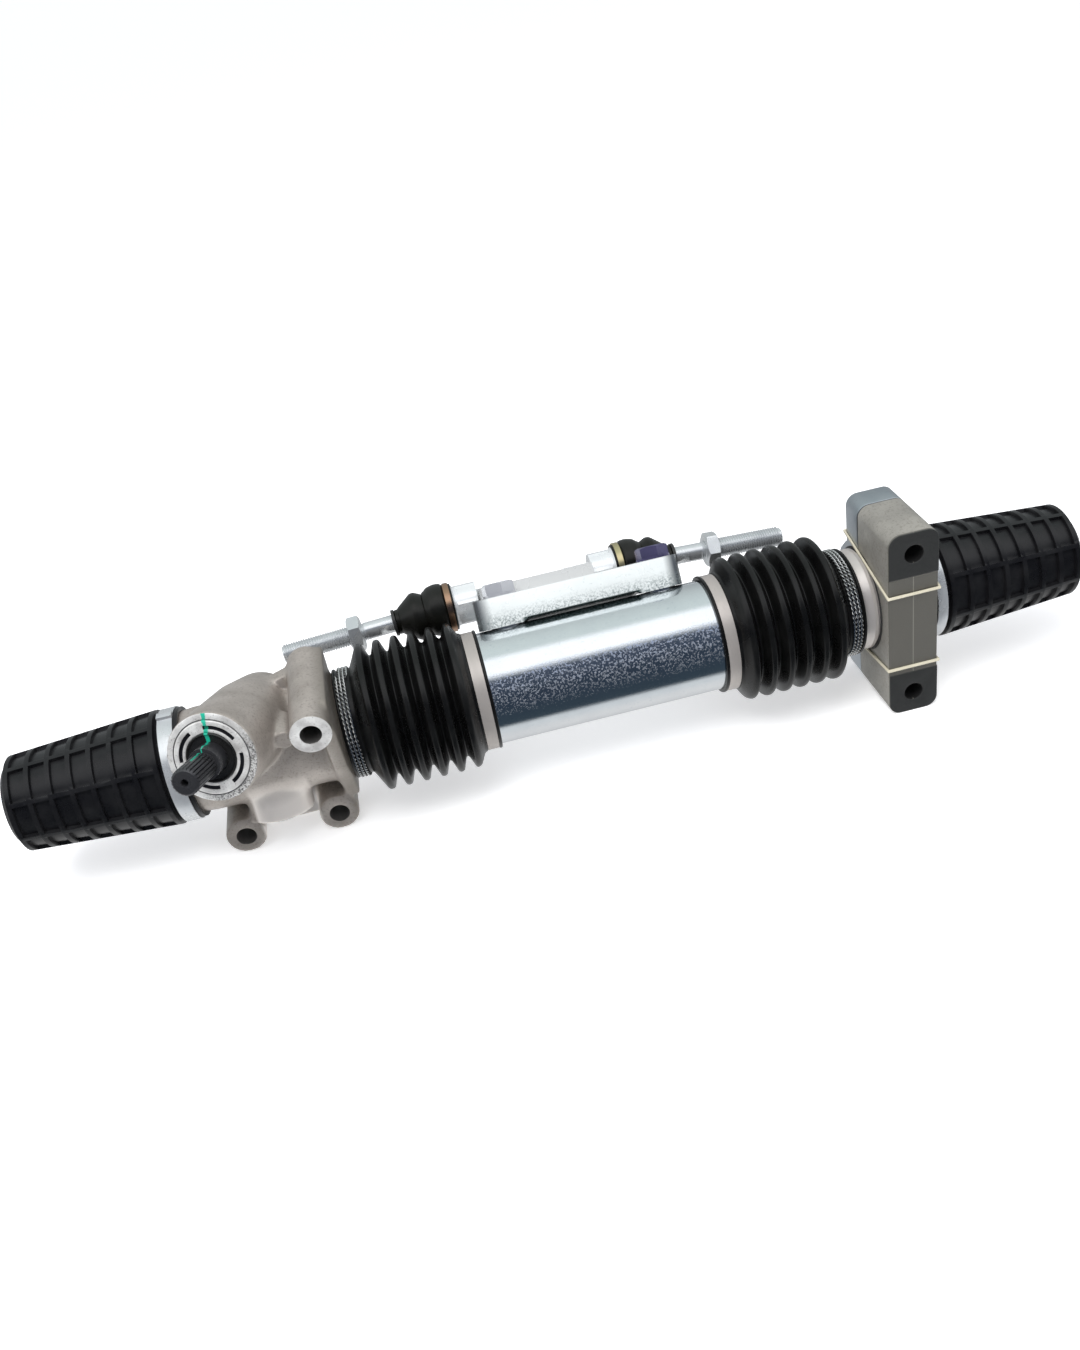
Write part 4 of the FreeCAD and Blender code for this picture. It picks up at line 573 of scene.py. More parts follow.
# The finish of each material slot of the record; heights and distances are millimetres
finishes = {
    "cast_aluminium": (cast, {
        "colour": (0.43, 0.39, 0.355), "second": (0.32, 0.29, 0.26), "pit": (0.19, 0.17, 0.15),
        "metallic": 0.5, "roughness": 0.40, "skinStrength": 0.34,
        "tones": [
            # painted shade on the casting right of the column: the column's right side and all
            # beyond it
            (rightwards, -160.0, -152.5, (0.21, 0.19, 0.165)),
            # painted light on the lower web between the tower and the bosses, in front of a plane
            ((0, 0, -1), 6.0, 26.0, (0.84, 0.79, 0.74), -194.5, 18.0, -8.0),
        ],
        # painted shade inside the mounting bores
        "bores": [(place, backwards, 5.9) for place in gear["mountBores"]],
        "shade": (0.12, 0.115, 0.11),
        "turned": {
            "start": 100.0, "colour": (0.62, 0.58, 0.55), "metallic": 0.6, "roughness": 0.30,
        },
    }),
    "drawn_tube": metal((0.50, 0.51, 0.52), (0.45, 0.46, 0.47), (0.25, 0.25, 0.26), 0.32, 0.1),
    "block_casting": (cast, {
        "colour": (0.34, 0.325, 0.29), "second": (0.26, 0.25, 0.225), "pit": (0.15, 0.14, 0.12),
        "metallic": 0.3, "roughness": 0.42, "skinStrength": 0.3,
        "tones": [
            # painted shade along the back edge, in the joint with the cap
            (backwards, 0.9, 1.3, (0.03, 0.034, 0.038)),
            # painted shade: the front face is darker and its pads darker still
            (forwards, 39.1, 39.7, (0.125, 0.12, 0.105)),
            (forwards, 40.2, 40.7, (0.036, 0.037, 0.036)),
        ],
        # painted shade inside the two bolt holes
        "bores": [((174.5, 0, height), backwards, 5.6) for height in (45.8, -45.8)],
        "shade": (0.02, 0.02, 0.02),
        "seam": {
            "place": (174.5, 0, 0), "width": (0.14, 0.35), "start": (39.5, 39.8),
            "end": (40.2, 40.5), "colour": (0.24, 0.23, 0.20),
        },
    }),
    "pressed_steel": metal((0.42, 0.46, 0.50), (0.50, 0.53, 0.56), (0.2, 0.22, 0.26), 0.34, 0.12),
    "bush_rubber": moulding((0.03, 0.03, 0.03), (0.05, 0.05, 0.05), 0.5),
    "elastic": moulding((0.58, 0.54, 0.42), (0.50, 0.46, 0.35), 0.55),
    "bearing_bronze": metal((0.60, 0.45, 0.24), (0.55, 0.42, 0.22), (0.3, 0.2, 0.1), 0.3, 0.1),
    "bearing_steel": metal((0.68, 0.69, 0.71), (0.62, 0.63, 0.65), (0.4, 0.4, 0.4), 0.15, 0.04),
    "machined_ring": metal(
        (0.78, 0.78, 0.76), (0.42, 0.41, 0.40), (0.14, 0.14, 0.13), 0.34, 0.3, speckDepth=0.75,
        metallic=0.3, cloudScale=110.0, paint=1.1,
        worn={
            "direction": (0.714, -0.425, -0.557), "start": -146.0, "end": -134.0,
            "colour": (0.03, 0.028, 0.026), "ring": (20.8, 26.0),
        },
        slots={
            "depth": (69.2, 69.7), "slot": (15.2, 17.6), "joint": (20.1, 20.8), "jointShare": 0.8,
            "colour": (0.02, 0.02, 0.025),
        },
    ),
    "seal_rubber": moulding((0.010, 0.010, 0.010), (0.018, 0.018, 0.018), 0.24, paint=1.0),
    "black_steel": metal(
        (0.055, 0.056, 0.06), (0.04, 0.04, 0.045), (0.12, 0.12, 0.12), 0.3, 0.12, metallic=0.6,
        paint=0.45,
    ),
    "yoke_plastic": moulding((0.70, 0.66, 0.55), (0.6, 0.57, 0.48), 0.5),
    "spring_steel": metal((0.40, 0.41, 0.43), (0.36, 0.37, 0.38), (0.2, 0.2, 0.2), 0.3, 0.08),
    "plug_steel": metal((0.60, 0.61, 0.63), (0.52, 0.53, 0.55), (0.3, 0.3, 0.32), 0.3, 0.12),
    "rack_steel": metal((0.58, 0.59, 0.60), (0.52, 0.53, 0.54), (0.3, 0.3, 0.3), 0.22, 0.08),
    "sleeve_zinc": metal(
        (0.80, 0.83, 0.85), (0.74, 0.77, 0.80), (0.45, 0.52, 0.62), 0.13, 0.45, roughSpan=0.02,
        grainScale=1100.0, speckScale=700.0, waveStrength=0.006,
        sparkle={
            "direction": (0, 0.545, 0.839), "start": -18.0, "end": 3.5, "metallic": 0.52,
            "colour": (0.33, 0.39, 0.53),
        },
    ),
    "bush_polymer": moulding((0.10, 0.10, 0.09), (0.08, 0.08, 0.07), 0.45),
    "guide_nylon": moulding((0.70, 0.67, 0.58), (0.6, 0.57, 0.5), 0.45),
    "spacer_steel": metal((0.58, 0.59, 0.60), (0.52, 0.53, 0.54), (0.3, 0.3, 0.3), 0.3, 0.12),
    "bracket_zinc": metal(
        (0.81, 0.85, 0.84), (0.74, 0.78, 0.77), (0.52, 0.57, 0.57), 0.26, 0.3, speckDepth=0.6,
        speckScale=520.0, waveStrength=0.12, metallic=0.2,
        tones=[
            ((0, 0.5, 0.866), 49.9, 50.4, (0.56, 0.57, 0.565)),
            # painted shade on the left end and on the right end
            ((-1, 0, 0), 54.5, 61.0, (0.13, 0.14, 0.15)),
            (rightwards, 48.0, 54.0, (0.08, 0.09, 0.10)),
            # painted shade on the underside between the feet, over the middle of its length
            ((0, -0.5, -0.866), -35.6, -35.0, (0.012, 0.035, 0.03), -3.0, 36.0),
        ],
        worn={
            "direction": (0, -0.5, -0.866), "start": -43.0, "end": -36.0,
            "colour": (0.20, 0.24, 0.24),
        },
    ),
    "bolt_zinc": metal(
        (0.12, 0.11, 0.22), (0.08, 0.075, 0.15), (0.05, 0.05, 0.10), 0.2, 0.12, metallic=0.6,
        tones=[((-1, 0, 0), 0.0, 5.0, (0.66, 0.67, 0.70))],
    ),
    "cap_rubber": moulding((0.005, 0.005, 0.006), (0.012, 0.012, 0.013), 0.30, specular=0.3),
    "clamp_zinc": metal(
        (0.66, 0.68, 0.69), (0.56, 0.58, 0.60), (0.35, 0.35, 0.36), 0.30, 0.14, metallic=0.65,
        waveStrength=0.02,
    ),
    "bellows_rubber": moulding((0.003, 0.003, 0.003), (0.007, 0.007, 0.007), 0.28, specular=0.28),
    "band_stainless": metal(
        (0.50, 0.46, 0.43), (0.42, 0.39, 0.365), (0.3, 0.28, 0.26), 0.36, 0.1,
        stretch=(1, 0.2, 0.2), metallic=0.55,
    ),
    "wire_steel": metal((0.78, 0.78, 0.77), (0.68, 0.68, 0.68), (0.4, 0.4, 0.4), 0.22, 0.05),
    "joint_zinc": metal(
        (0.80, 0.82, 0.82), (0.70, 0.72, 0.74), (0.4, 0.42, 0.45), 0.28, 0.16, metallic=0.45,
    ),
    "seat_nylon": moulding((0.75, 0.75, 0.70), (0.7, 0.7, 0.66), 0.4),
    "rod_zinc": metal(
        (0.74, 0.76, 0.77), (0.62, 0.64, 0.66), (0.35, 0.38, 0.42), 0.27, 0.08, metallic=0.75,
        speckDepth=0.15,
    ),
    "nut_zinc": metal(
        (0.76, 0.78, 0.78), (0.66, 0.68, 0.70), (0.35, 0.38, 0.42), 0.27, 0.14, metallic=0.8,
    ),
    "boot_rubber": moulding((0.004, 0.004, 0.003), (0.009, 0.009, 0.008), 0.32, specular=0.3),
    "ring_copper": metal((0.46, 0.30, 0.20), (0.38, 0.24, 0.16), (0.15, 0.1, 0.08), 0.3, 0.08),
    "ring_yellow": metal((0.66, 0.58, 0.34), (0.58, 0.50, 0.30), (0.3, 0.25, 0.15), 0.3, 0.08),
    "disc_black": moulding((0.02, 0.02, 0.02), (0.03, 0.03, 0.03), 0.4),
}
looks = {slot: maker(slot, values) for slot, (maker, values) in finishes.items()}
for name, node in nodes.items():
    node.data.materials.clear()
    node.data.materials.append(looks[slotOf[name]])
print("materials laid on the CAD nodes")


# Shared ways of making a piece; lengths are millimetres, and welds and flats metres
weld = {"cad": 2e-6, "repeated": 2e-7, "skin": 1e-7, "flat": 1e-8}


def rackPoint(point):
    return (Vector(point) + Vector(gear["axis"])) * mm


# Turn that lays the local X axis along a direction
def turnTo(direction):
    way = Vector(direction).normalized()
    return Vector(rightwards).rotation_difference(way).to_matrix()


def alongX(place, direction):
    return Matrix.Translation(rackPoint(place)) @ turnTo(direction).to_4x4()


# Point at a distance along X, and at a radius and an angle round it
def roundX(x, radius, angle):
    return Vector((x, radius * math.cos(angle), radius * math.sin(angle))) * mm


def openMesh(mesh, distance):
    builder = bmesh.new()
    builder.from_mesh(mesh)
    bmesh.ops.remove_doubles(builder, verts=builder.verts, dist=distance)
    return builder


def closeMesh(builder, name):
    mesh = bpy.data.meshes.new(name)
    builder.to_mesh(mesh)
    builder.free()
    return mesh


def evaluated(thing):
    graph = bpy.context.evaluated_depsgraph_get()
    return bpy.data.meshes.new_from_object(thing.evaluated_get(graph))


def addPiece(name, mesh, node, angle=35.0):
    for polygon in mesh.polygons:
        polygon.use_smooth = True
    mesh.set_sharp_from_angle(angle=math.radians(angle))
    piece = addObject(name, mesh)
    mesh.materials.clear()
    mesh.materials.append(looks[slotOf[node]])
    return piece


# A piece that takes the place of a CAD node and rides on the node's body
def addFirm(name, mesh, node, angle=35.0):
    piece = addPiece(name, mesh, node, angle)
    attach(piece, bodyOf[node])
    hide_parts(node)


# Corners of a profile rounded off by short curves that take at most a share of each side
def eased(points, reach, steps=4, closed=True, most=0.45):
    places = [Vector(point) for point in points]
    count = len(places)
    result = []
    for index, place in enumerate(places):
        if not closed and index in (0, count - 1):
            result.append(place)
            continue
        ends = []
        for other in (places[index - 1], places[(index + 1) % count]):
            side = other - place
            ends.append(place + side.normalized() * min(reach, side.length * most))
        for step in range(steps + 1):
            share = step / steps
            rest = 1 - share
            result.append(ends[0] * rest ** 2 + place * 2 * share * rest + ends[1] * share ** 2)
    return [(place.x, place.y) for place in result]


# Rings of points, each one closed in itself, joined into a skin; a loop also joins its ends
def skin(name, rings, loop):
    builder = bmesh.new()
    corners = [[builder.verts.new(point) for point in ring] for ring in rings]
    count = len(corners[0])
    for number in range(len(corners) - (0 if loop else 1)):
        here = corners[number]
        there = corners[(number + 1) % len(corners)]
        for index in range(count):
            following = (index + 1) % count
            builder.faces.new((here[index], here[following], there[following], there[index]))
    if not loop:
        builder.faces.new(corners[0])
        builder.faces.new(corners[-1])
    bmesh.ops.remove_doubles(builder, verts=builder.verts, dist=weld["skin"])
    bmesh.ops.dissolve_degenerate(builder, edges=builder.edges, dist=weld["flat"])
    bmesh.ops.recalc_face_normals(builder, faces=builder.faces)
    return closeMesh(builder, name)


# A closed section, given for each angle, swept round the local X axis
def sweep(name, sectionAt, turn, segments):
    angles = [2 * math.pi * segment / segments for segment in range(segments)]
    rings = [
        [turn @ roundX(x, radius, angle) for x, radius in sectionAt(angle)] for angle in angles
    ]
    return skin(name, rings, True)


def lathe(name, section, turn, segments):
    return sweep(name, lambda angle: section, turn, segments)


# Hexagon nut or bolt head whose corners are turned down at the faces that are named
hexagonForm = {"slope": 0.5, "segments": 144}


def hexagon(name, values, turn):
    half = values["flats"] / 2
    flat = half * values["flat"]
    hole = values["hole"]

    def section(angle):
        swing = (math.degrees(angle) + values["swing"]) % 60 - 30
        radius = half / math.cos(math.radians(swing))
        fall = max(0.0, radius - flat) * hexagonForm["slope"]
        low = values["low"] + (fall if "low" in values["turnedDown"] else 0)
        high = values["high"] - (fall if "high" in values["turnedDown"] else 0)
        return [(values["low"], hole), (values["low"], flat), (low, radius), (high, radius),
                (values["high"], flat), (values["high"], hole)]

    return sweep(name, section, turn, hexagonForm["segments"])


# Geometry Nodes: one form repeated at equal steps, each step turned a little about X
def buildRepeater():
    tree = bpy.data.node_groups.new("repeater", "GeometryNodeTree")
    tree.interface.new_socket("Geometry", in_out="OUTPUT", socket_type="NodeSocketGeometry")
    sockets = {}
    for label, kind in (
        ("Form", "NodeSocketObject"), ("Count", "NodeSocketInt"), ("Start", "NodeSocketVector"),
        ("Step", "NodeSocketVector"), ("Turn", "NodeSocketFloat"), ("Finish", "NodeSocketMaterial"),
    ):
        socket = tree.interface.new_socket(label, in_out="INPUT", socket_type=kind)
        sockets[label] = socket.identifier
    given = addNode(tree, "NodeGroupInput").outputs
    places = {"Count": given["Count"], "Start Location": given["Start"], "Offset": given["Step"]}
    line = addNode(tree, "GeometryNodeMeshLine", places, mode="OFFSET")
    form = addNode(tree, "GeometryNodeObjectInfo", {"Object": given["Form"]})
    index = addNode(tree, "GeometryNodeInputIndex").outputs[0]
    turn = addNode(tree, "ShaderNodeCombineXYZ", {"X": times(tree, index, given["Turn"])})
    place = addNode(tree, "GeometryNodeInstanceOnPoints", {
        "Points": line.outputs["Mesh"],
        "Instance": form.outputs["Geometry"],
        "Rotation": turn.outputs["Vector"],
    })
    real = addNode(tree, "GeometryNodeRealizeInstances", {"Geometry": place.outputs["Instances"]})
    forms = {"Geometry": real.outputs["Geometry"], "Material": given["Finish"]}
    finish = addNode(tree, "GeometryNodeSetMaterial", forms)
    addNode(tree, "NodeGroupOutput", {0: finish.outputs["Geometry"]})
    return tree, sockets


repeater, repeaterSockets = buildRepeater()


def repeated(name, form, count, start, step, turn, slot):
    source = addObject(name + "_form", form)
    holder = addObject(name + "_holder", bpy.data.meshes.new(name + "_holder"))
    modifier = holder.modifiers.new("repeat", "NODES")
    modifier.node_group = repeater
    values = {"Form": source, "Count": count, "Start": tuple(start), "Step": tuple(step),
              "Turn": turn, "Finish": looks[slot]}
    for label, value in values.items():
        modifier[repeaterSockets[label]] = value
    holder.update_tag()
    bpy.context.view_layer.update()
    final = evaluated(holder)
    holder.modifiers.clear()
    for thing in (source, holder):
        bpy.data.objects.remove(thing)
    return closeMesh(openMesh(final, weld["repeated"]), name)


# Directions of the bracket, and the relief under it: it closes towards the back, so that
# no light shows between the bracket's feet
tilt = math.radians(gear["bracketTilt"])
bracketUp = Vector((0, math.sin(tilt), math.cos(tilt)))
bracketBack = Vector((0, math.cos(tilt), -math.sin(tilt)))
relief = {"ceiling": 35.2, "fall": 3.8, "behind": 5.0, "near": 0.2}


def closeRelief(builder):
    for corner in builder.verts:
        offset = corner.co / mm - Vector(gear["axis"])
        onCeiling = abs(offset.dot(bracketUp) - relief["ceiling"]) < relief["near"]
        if onCeiling and offset.dot(bracketBack) > relief["behind"]:
            corner.co -= bracketUp * relief["fall"] * mm


# Block, bracket and the other firm pieces keep their CAD form: flat faces are made whole
# and edges rounded by the width given here, the thin ones in fewer steps
softened = {
    "clamp_block": 1.1,
    "clamp_cap": 1.1,
    "bracket": 1.4,
    "joint_housing_left": 0.5,
    "joint_housing_right": 0.5,
    "end_cap_left": 0.6,
    "end_cap_right": 0.6,
    "retaining_ring": 0.25,
    "retaining_bands": 0.5,
    "pinion_shaft": 0.12,
    "cap_clamp_left": 0.2,
    "cap_clamp_right": 0.2,
}
# angles of a flat face and of an edge in degrees, and the steps that round an edge
softening = {"flat": 1.0, "edge": 30.0, "thin": 0.3, "thinSteps": 2, "steps": 3}


def soften(node, width):
    builder = openMesh(nodes[node].data, weld["cad"])
    if node == "bracket":
        closeRelief(builder)
    bmesh.ops.dissolve_limit(builder, angle_limit=math.radians(softening["flat"]),
                             verts=builder.verts, edges=builder.edges)
    bmesh.ops.recalc_face_normals(builder, faces=builder.faces)
    holder = addObject(node + "_plain", closeMesh(builder, node + "_plain"))
    bevel = holder.modifiers.new("edges", "BEVEL")
    bevel.width = width * mm
    bevel.segments = softening["steps" if width > softening["thin"] else "thinSteps"]
    bevel.limit_method = "ANGLE"
    bevel.angle_limit = math.radians(softening["edge"])
    bevel.use_clamp_overlap = True
    final = evaluated(holder)
    bpy.data.objects.remove(holder)
    addFirm(node + "_rounded", final, node)


for node, width in softened.items():
    soften(node, width)
print("firm pieces softened")


# Casting: one skin with filled inner corners, worn outer edges and clean machined bores
casting = {
    "voxel": 1.0,
    "fillRounds": 26,
    "fillShare": 0.7,
    "softRounds": 5,
    "softShare": 0.5,
    "keep": 0.55,
    "sharp": 50.0,
    # bores that stay as they are: a point on the axis, its direction, the radius and the stretch
    "bores": [
        *((place, backwards, 7.2, (-90, 90)) for place in gear["mountBores"]),
        ((0, 0, 0), rightwards, 27.2, (-171, 0)),
        ((0, 0, 0), rightwards, 15.8, (-260, 0)),
        ((-197.6, 5.403, 16.435), gear["pinionAxis"], 22.0, (50, 80)),
        ((-197.6, 5.403, 16.435), gear["pinionAxis"], 13.6, (-40, 80)),
        ((-197.6, 0, 0), (0, -0.3123, -0.94996), 14.4, (-5, 60)),
    ],
}


def meshArray(collection, name, width, kind=float):
    values = numpy.empty(len(collection) * width, dtype=kind)
    collection.foreach_get(name, values)
    return values.reshape(-1, width)


# Marks the corners that may move: all but those in the bores
def freeCorners(places, bores):
    free = numpy.ones(len(places), dtype=bool)
    for point, direction, radius, (low, high) in bores:
        way = numpy.array(direction)
        offset = places / mm - numpy.array(gear["axis"]) - numpy.array(point)
        along = offset @ way
        across = numpy.linalg.norm(offset - along[:, None] * way, axis=1)
        free &= ~((across < radius) & (along > low) & (along < high))
    return free[:, None]


def castSkin(node, values):
    builder = openMesh(nodes[node].data, weld["cad"])
    holder = addObject(node + "_start", closeMesh(builder, node + "_start"))
    remesh = holder.modifiers.new("skin", "REMESH")
    remesh.mode = "VOXEL"
    remesh.voxel_size = values["voxel"] * mm
    fine = evaluated(holder)
    holder.modifiers.clear()
    places = meshArray(fine.vertices, "co", 3)
    pairs = meshArray(fine.edges, "vertices", 2, int)
    count = len(places)
    valence = numpy.bincount(pairs.ravel(), minlength=count)[:, None]
    free = freeCorners(places, values["bores"])

    # way from each corner to the middle of its neighbours
    def pull():
        total = numpy.zeros_like(places)
        for side in (0, 1):
            others = places[pairs[:, 1 - side]]
            for part in range(3):
                total[:, part] += numpy.bincount(pairs[:, side], others[:, part], count)
        return total / valence - places

    for step in range(values["fillRounds"]):
        fine.vertices.foreach_set("co", places.ravel())
        fine.update()
        normals = meshArray(fine.vertex_normals, "vector", 3, numpy.float32)
        rise = numpy.sum(pull() * normals, axis=1, keepdims=True)
        places += normals * numpy.maximum(rise, 0) * values["fillShare"] * free
    for step in range(values["softRounds"]):
        places += pull() * values["softShare"] * free
    fine.vertices.foreach_set("co", places.ravel())
    fine.update()
    holder.data = fine
    thin = holder.modifiers.new("thin", "DECIMATE")
    thin.ratio = values["keep"]
    final = evaluated(holder)
    bpy.data.objects.remove(holder)
    addFirm(node + "_casting", final, node, values["sharp"])


castSkin("pinion_housing", casting)
print("casting made")


# Machined faces of the casting: thin bright rings on the column, the bosses and the tower,
# each with its place, direction, inner and outer radius and the node whose finish it takes
machined = {
    "face_column": ((-163.5, -57.0, 35.5), forwards, 5.8, 11.0, "retaining_ring"),
    "face_inner_boss": ((-167.0, -18.0, -47.4), forwards, 5.8, 10.6, "pinion_housing"),
    "face_outer_boss": ((-221.8, -18.0, -47.4), forwards, 5.8, 10.6, "pinion_housing"),
    "face_tower": ((-214.876, -58.057, 37.3), gear["pinionAxis"], 20.6, 23.9, "retaining_ring"),
}
faceRing = {"foot": -0.6, "proud": 0.2, "bevel": (0.06, 0.1), "slope": (0.3, 0.5), "segments": 96}


def faceSection(inner, outer, values):
    foot = values["foot"]
    proud = values["proud"]
    bevelFall, bevelWidth = values["bevel"]
    slopeFall, slopeWidth = values["slope"]
    return [(foot, inner), (proud - bevelFall, inner), (proud, inner + bevelWidth),
            (proud, outer - slopeWidth), (proud - slopeFall, outer), (foot, outer)]


for name, (place, direction, inner, outer, finish) in machined.items():
    section = faceSection(inner, outer, faceRing)
    mesh = lathe(name, section, alongX(place, direction), faceRing["segments"])
    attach(addPiece(name, mesh, finish), "housing")
print("machined faces made")


# Bellows: rounded folds, a cuff under the strip band and a collar under the wire
bellows = {
    "cuff": [(66.2, 32.7), (66.2, 34.9), (68.0, 34.9), (68.1, 33.75), (74.9, 33.75),
             (75.1, 35.0), (76.6, 35.2)],
    "firstCrest": [(80.2, 41.9), (83.2, 42.9)],
    "crests": 6,
    "first": 82.0,
    "pitch": 10.2,
    "crest": 42.8,
    "crestHalf": 1.5,
    "valley": 35.0,
    "valleyHalf": 0.7,
    "collar": [(140.6, 31.2), (141.4, 30.55), (149.3, 30.55), (149.4, 31.9), (151.0, 31.9),
               (151.0, 28.7)],
    "innerStart": (141.0, 28.7),
    "innerEnd": (76.0, 32.7),
    "wall": 1.5,
    "round": 1.5,
    "roundSteps": 5,
    "segments": 144,
    "sharp": 60.0,
    # points on the housing's side and on the rack's where a bend would start and end; the bellows
    # are not bent here
    "bend": (139.0, 78.0),
}


def bellowsSection(values):
    middles = [values["first"] + values["pitch"] * number for number in range(values["crests"])]
    half = values["pitch"] / 2
    outer = values["cuff"] + values["firstCrest"]
    for middle in middles[1:]:
        for place, flat, radius in (
            (middle - half, values["valleyHalf"], values["valley"]),
            (middle, values["crestHalf"], values["crest"]),
        ):
            outer += [(place - flat, radius), (place + flat, radius)]
    outer += values["collar"]
    inner = [values["innerStart"]]
    for middle in reversed(middles):
        inner.append((middle, values["crest"] - 2 * values["wall"]))
        if middle > values["first"]:
            inner.append((middle - half, values["valley"] - values["wall"]))
    inner.append(values["innerEnd"])
    return eased(outer, values["round"], values["roundSteps"], closed=False) + inner


for side, sign in sides:
    node = "bellows_" + side
    turn = alongX((0, 0, 0), (sign, 0, 0))
    mesh = lathe(node + "_rubber", bellowsSection(bellows), turn, bellows["segments"])
    piece = addPiece(node + "_rubber", mesh, node, bellows["sharp"])
    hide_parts(node)
    start, end = (rackPoint((sign * reach, 0, 0)) for reach in bellows["bend"])
    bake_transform(piece)
print("bellows made")


# Wire: two strands twisted together, three turns round each collar
wire = {
    "start": 142.6,
    "step": 2.1,
    "turns": 3,
    "radius": 31.35,
    "strand": 0.46,
    "lay": 0.55,
    "twists": 34,
    "stepsPerTwist": 12,
    "corners": 6,
    "sharp": 70.0,
}


def strand(name, values, direction):
    turn = turnTo(direction)
    steps = values["twists"] * values["stepsPerTwist"]
    rings = []
    for step in range(steps + 1):
        share = step / steps
        angle = 2 * math.pi * share
        lay = angle * values["twists"]
        middle = values["radius"] + values["lay"] * math.cos(lay)
        along = values["start"] + values["step"] * share + values["lay"] * math.sin(lay)
        ring = []
        for corner in range(values["corners"]):
            swing = 2 * math.pi * corner / values["corners"]
            radius = middle + values["strand"] * math.cos(swing)
            ring.append(turn @ roundX(along + values["strand"] * math.sin(swing), radius, angle))
        rings.append(ring)
    return skin(name, rings, False)


for side, sign in sides:
    node = "tie_wire_" + side
    joined = bmesh.new()
    half = math.pi / wire["twists"]
    for number in range(wire["turns"]):
        form = strand(node + "_strand", wire, (sign, 0, 0))
        start = rackPoint((0, 0, 0)) + Vector((sign * wire["step"] * number * mm, 0, 0))
        joined.from_mesh(repeated(node, form, 2, start, (0, 0, 0), half, "wire_steel"))
    addFirm(node + "_twisted", closeMesh(joined, node + "_twisted"), node, wire["sharp"])
print("wires twisted")


# Ball joint boots: a dome round the socket and a cone along the rod
boots = {
    "dome": {
        "section": [(-6.5, 12.96), (-6.5, 14.15), (-1.3, 14.15), (-0.5, 15.5), (3.6, 15.8),
                    (7.8, 14.8), (10.6, 12.6), (11.4, 12.3), (11.2, 11.3), (5.0, 14.2),
                    (0.2, 12.96)],
        "round": 1.0,
        "bend": (-0.5, 11.0),
    },
    "cone": {
        "section": [(10.0, 11.6), (11.4, 12.5), (15.4, 14.6), (17.8, 14.4), (26.4, 8.3),
                    (27.0, 7.5), (29.4, 7.4), (29.4, 5.4), (25.5, 5.4), (16.8, 13.0),
                    (11.0, 10.9)],
        "round": 0.9,
        "bend": (11.0, 25.0),
    },
    "segments": 96,
    "sharp": 60.0,
}
balls = {"left": gear["leftBall"], "right": gear["rightBall"]}
droop = math.radians(gear["rodDroop"])


def rodWay(sign):
    return Vector((sign * math.cos(droop), 0, -math.sin(droop)))


for side, sign in sides:
    node = "boot_" + side
    middle = Vector(balls[side])
    way = Vector((sign, 0, 0))
    for part, direction, near, far in (
        ("dome", way, "rack", "seat_" + side),
        ("cone", rodWay(sign), "seat_" + side, "rod_" + side),
    ):
        values = boots[part]
        name = node + "_" + part
        section = eased(values["section"], values["round"])
        mesh = lathe(name, section, alongX(middle, direction), boots["segments"])
        piece = addPiece(name, mesh, node, boots["sharp"])
        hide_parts(node)
        start, end = (rackPoint(middle + way * reach) for reach in values["bend"])
        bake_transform(piece)
print("boots made")


# Tie rods: cut threads on the CAD form, and hexagon nuts with turned corners
rods = {
    "start": 49.0,
    "end": 98.6,
    "pitch": 1.5,
    "root": 5.1,
    "crest": 6.0,
    # the rod is drawn in a little before the thread, whose foot lies under its root
    "before": 0.3,
    "foot": 0.3,
    # half widths of the thread at its root and crest, as shares of the pitch
    "rootShare": 0.46,
    "crestShare": 0.08,
    "steps": 40,
    "sharp": 30.0,
}
nuts = {
    "flats": 19.0,
    "flat": 0.95,
    "hole": 5.6,
    "low": 50.5,
    "high": 58.5,
    "turnedDown": ("low", "high"),
    "swing": 12.0,
    "sharp": 25.0,
}


def threadTurn(name, values, turn):
    pitch = values["pitch"]
    root = values["rootShare"] * pitch
    crest = values["crestShare"] * pitch
    foot = values["root"] - values["foot"]
    section = [(-root, foot), (-root, values["root"]), (-crest, values["crest"]),
               (crest, values["crest"]), (root, values["root"]), (root, foot)]
    rings = []
    for step in range(values["steps"] + 1):
        share = step / values["steps"]
        angle = 2 * math.pi * share
        rings.append([turn @ roundX(pitch * share + x, radius, angle) for x, radius in section])
    return skin(name, rings, False)


# The CAD rod, drawn in to the thread's root along its threaded end
def threadedShank(node, values, centre, way):
    builder = openMesh(nodes[node].data, weld["cad"])
    root = values["root"] * mm
    for corner in builder.verts:
        offset = corner.co - centre
        along = offset.dot(way)
        across = offset - way * along
        if along > (values["start"] - values["before"]) * mm and across.length > root:
            corner.co = centre + way * along + across * (root / across.length)
    return closeMesh(builder, node + "_shank")


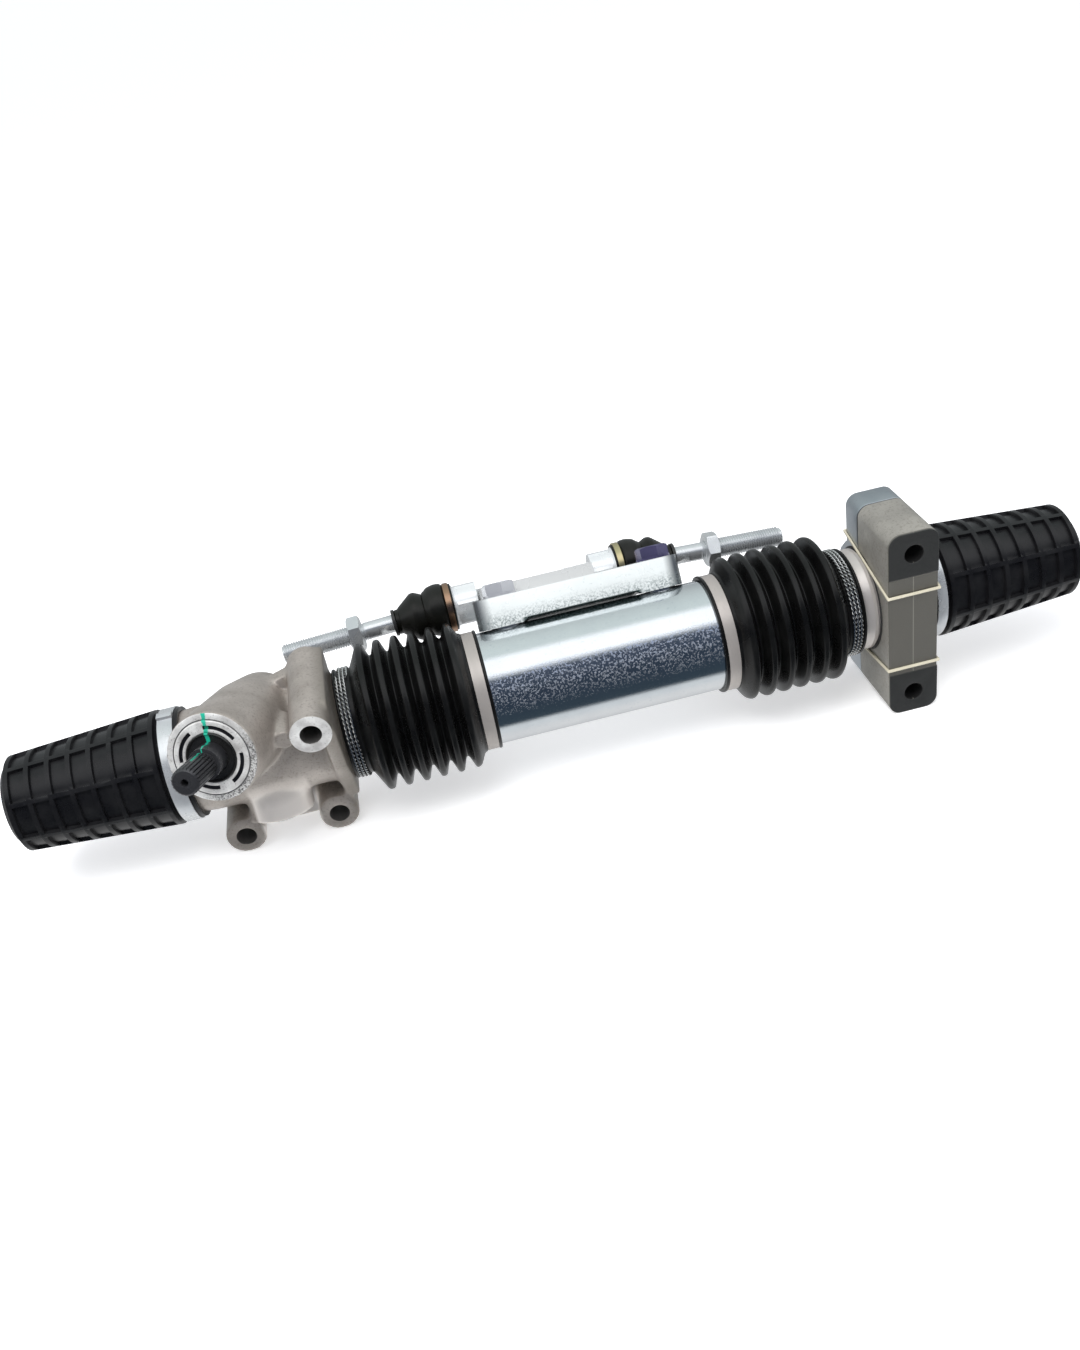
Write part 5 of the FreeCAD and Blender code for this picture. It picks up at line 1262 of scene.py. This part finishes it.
for side, sign in sides:
    way = rodWay(sign)
    node = "tie_rod_" + side
    centre = rackPoint(balls[side])
    addFirm(node + "_shank", threadedShank(node, rods, centre, way), node, rods["sharp"])
    form = threadTurn(node + "_turn", rods, turnTo(way))
    count = int((rods["end"] - rods["start"]) / rods["pitch"]) - 1
    start = centre + way * (rods["start"] + rods["pitch"] / 2) * mm
    step = way * rods["pitch"] * mm
    thread = repeated(node + "_thread", form, count, start, step, 0.0, "rod_zinc")
    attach(addPiece(node + "_thread", thread, node, rods["sharp"]), bodyOf[node])
    node = "lock_nut_" + side
    addFirm(node + "_turned", hexagon(node, nuts, alongX(balls[side], way)), node, nuts["sharp"])
print("tie rods threaded")


# Bracket bolts: turned-down hexagon heads on their shanks, one form set twice
bolts = {
    "flats": 17.0,
    "flat": 0.93,
    "hole": 0.0,
    "low": 52.0,
    "high": 58.4,
    "turnedDown": ("high",),
    "swing": 20.0,
    "first": -47.5,
    "spacing": 92.0,
    "shank": 5.0,
    "shankStart": -8.0,
    "shankEnd": 53.0,
    "shankSegments": 48,
    "sharp": 25.0,
}


def boltForm(values):
    turn = turnTo(bracketUp)
    start, end, radius = (values[key] for key in ("shankStart", "shankEnd", "shank"))
    shank = [(start, 0), (end, 0), (end, radius), (start, radius)]
    builder = bmesh.new()
    builder.from_mesh(hexagon("bolt_head", values, turn))
    builder.from_mesh(lathe("bolt_shank", shank, turn, values["shankSegments"]))
    return closeMesh(builder, "bolt_form")


boltMesh = repeated("bracket_bolts", boltForm(bolts), 2, rackPoint((bolts["first"], 0, 0)),
                    (bolts["spacing"] * mm, 0, 0), 0.0, "bolt_zinc")
addFirm("bracket_bolts_turned", boltMesh, "bracket_bolts", bolts["sharp"])
print("bolts made")


# Floor: white to the camera, and left out of the reflections
floorValues = {
    "colour": (0.93, 0.93, 0.93),
    "roughness": 0.6,
    "specular": 0.2,
    "size": 40.0,
    "glow": 0.42,
}


def layFloor(values):
    mesh = bpy.data.meshes.new("floor")
    half = values["size"] / 2
    corners = [(-half, -half, 0), (half, -half, 0), (half, half, 0), (-half, half, 0)]
    mesh.from_pydata(corners, [], [(0, 1, 2, 3)])
    floor = addObject("floor", mesh)
    material, _, shader = newMaterial("floor", values["colour"], 0.0, values["roughness"],
                                      values["specular"])
    shader["Emission Color"].default_value = (1, 1, 1, 1)
    shader["Emission Strength"].default_value = values["glow"]
    mesh.materials.append(material)
    floor.visible_glossy = False


layFloor(floorValues)
print("floor laid")
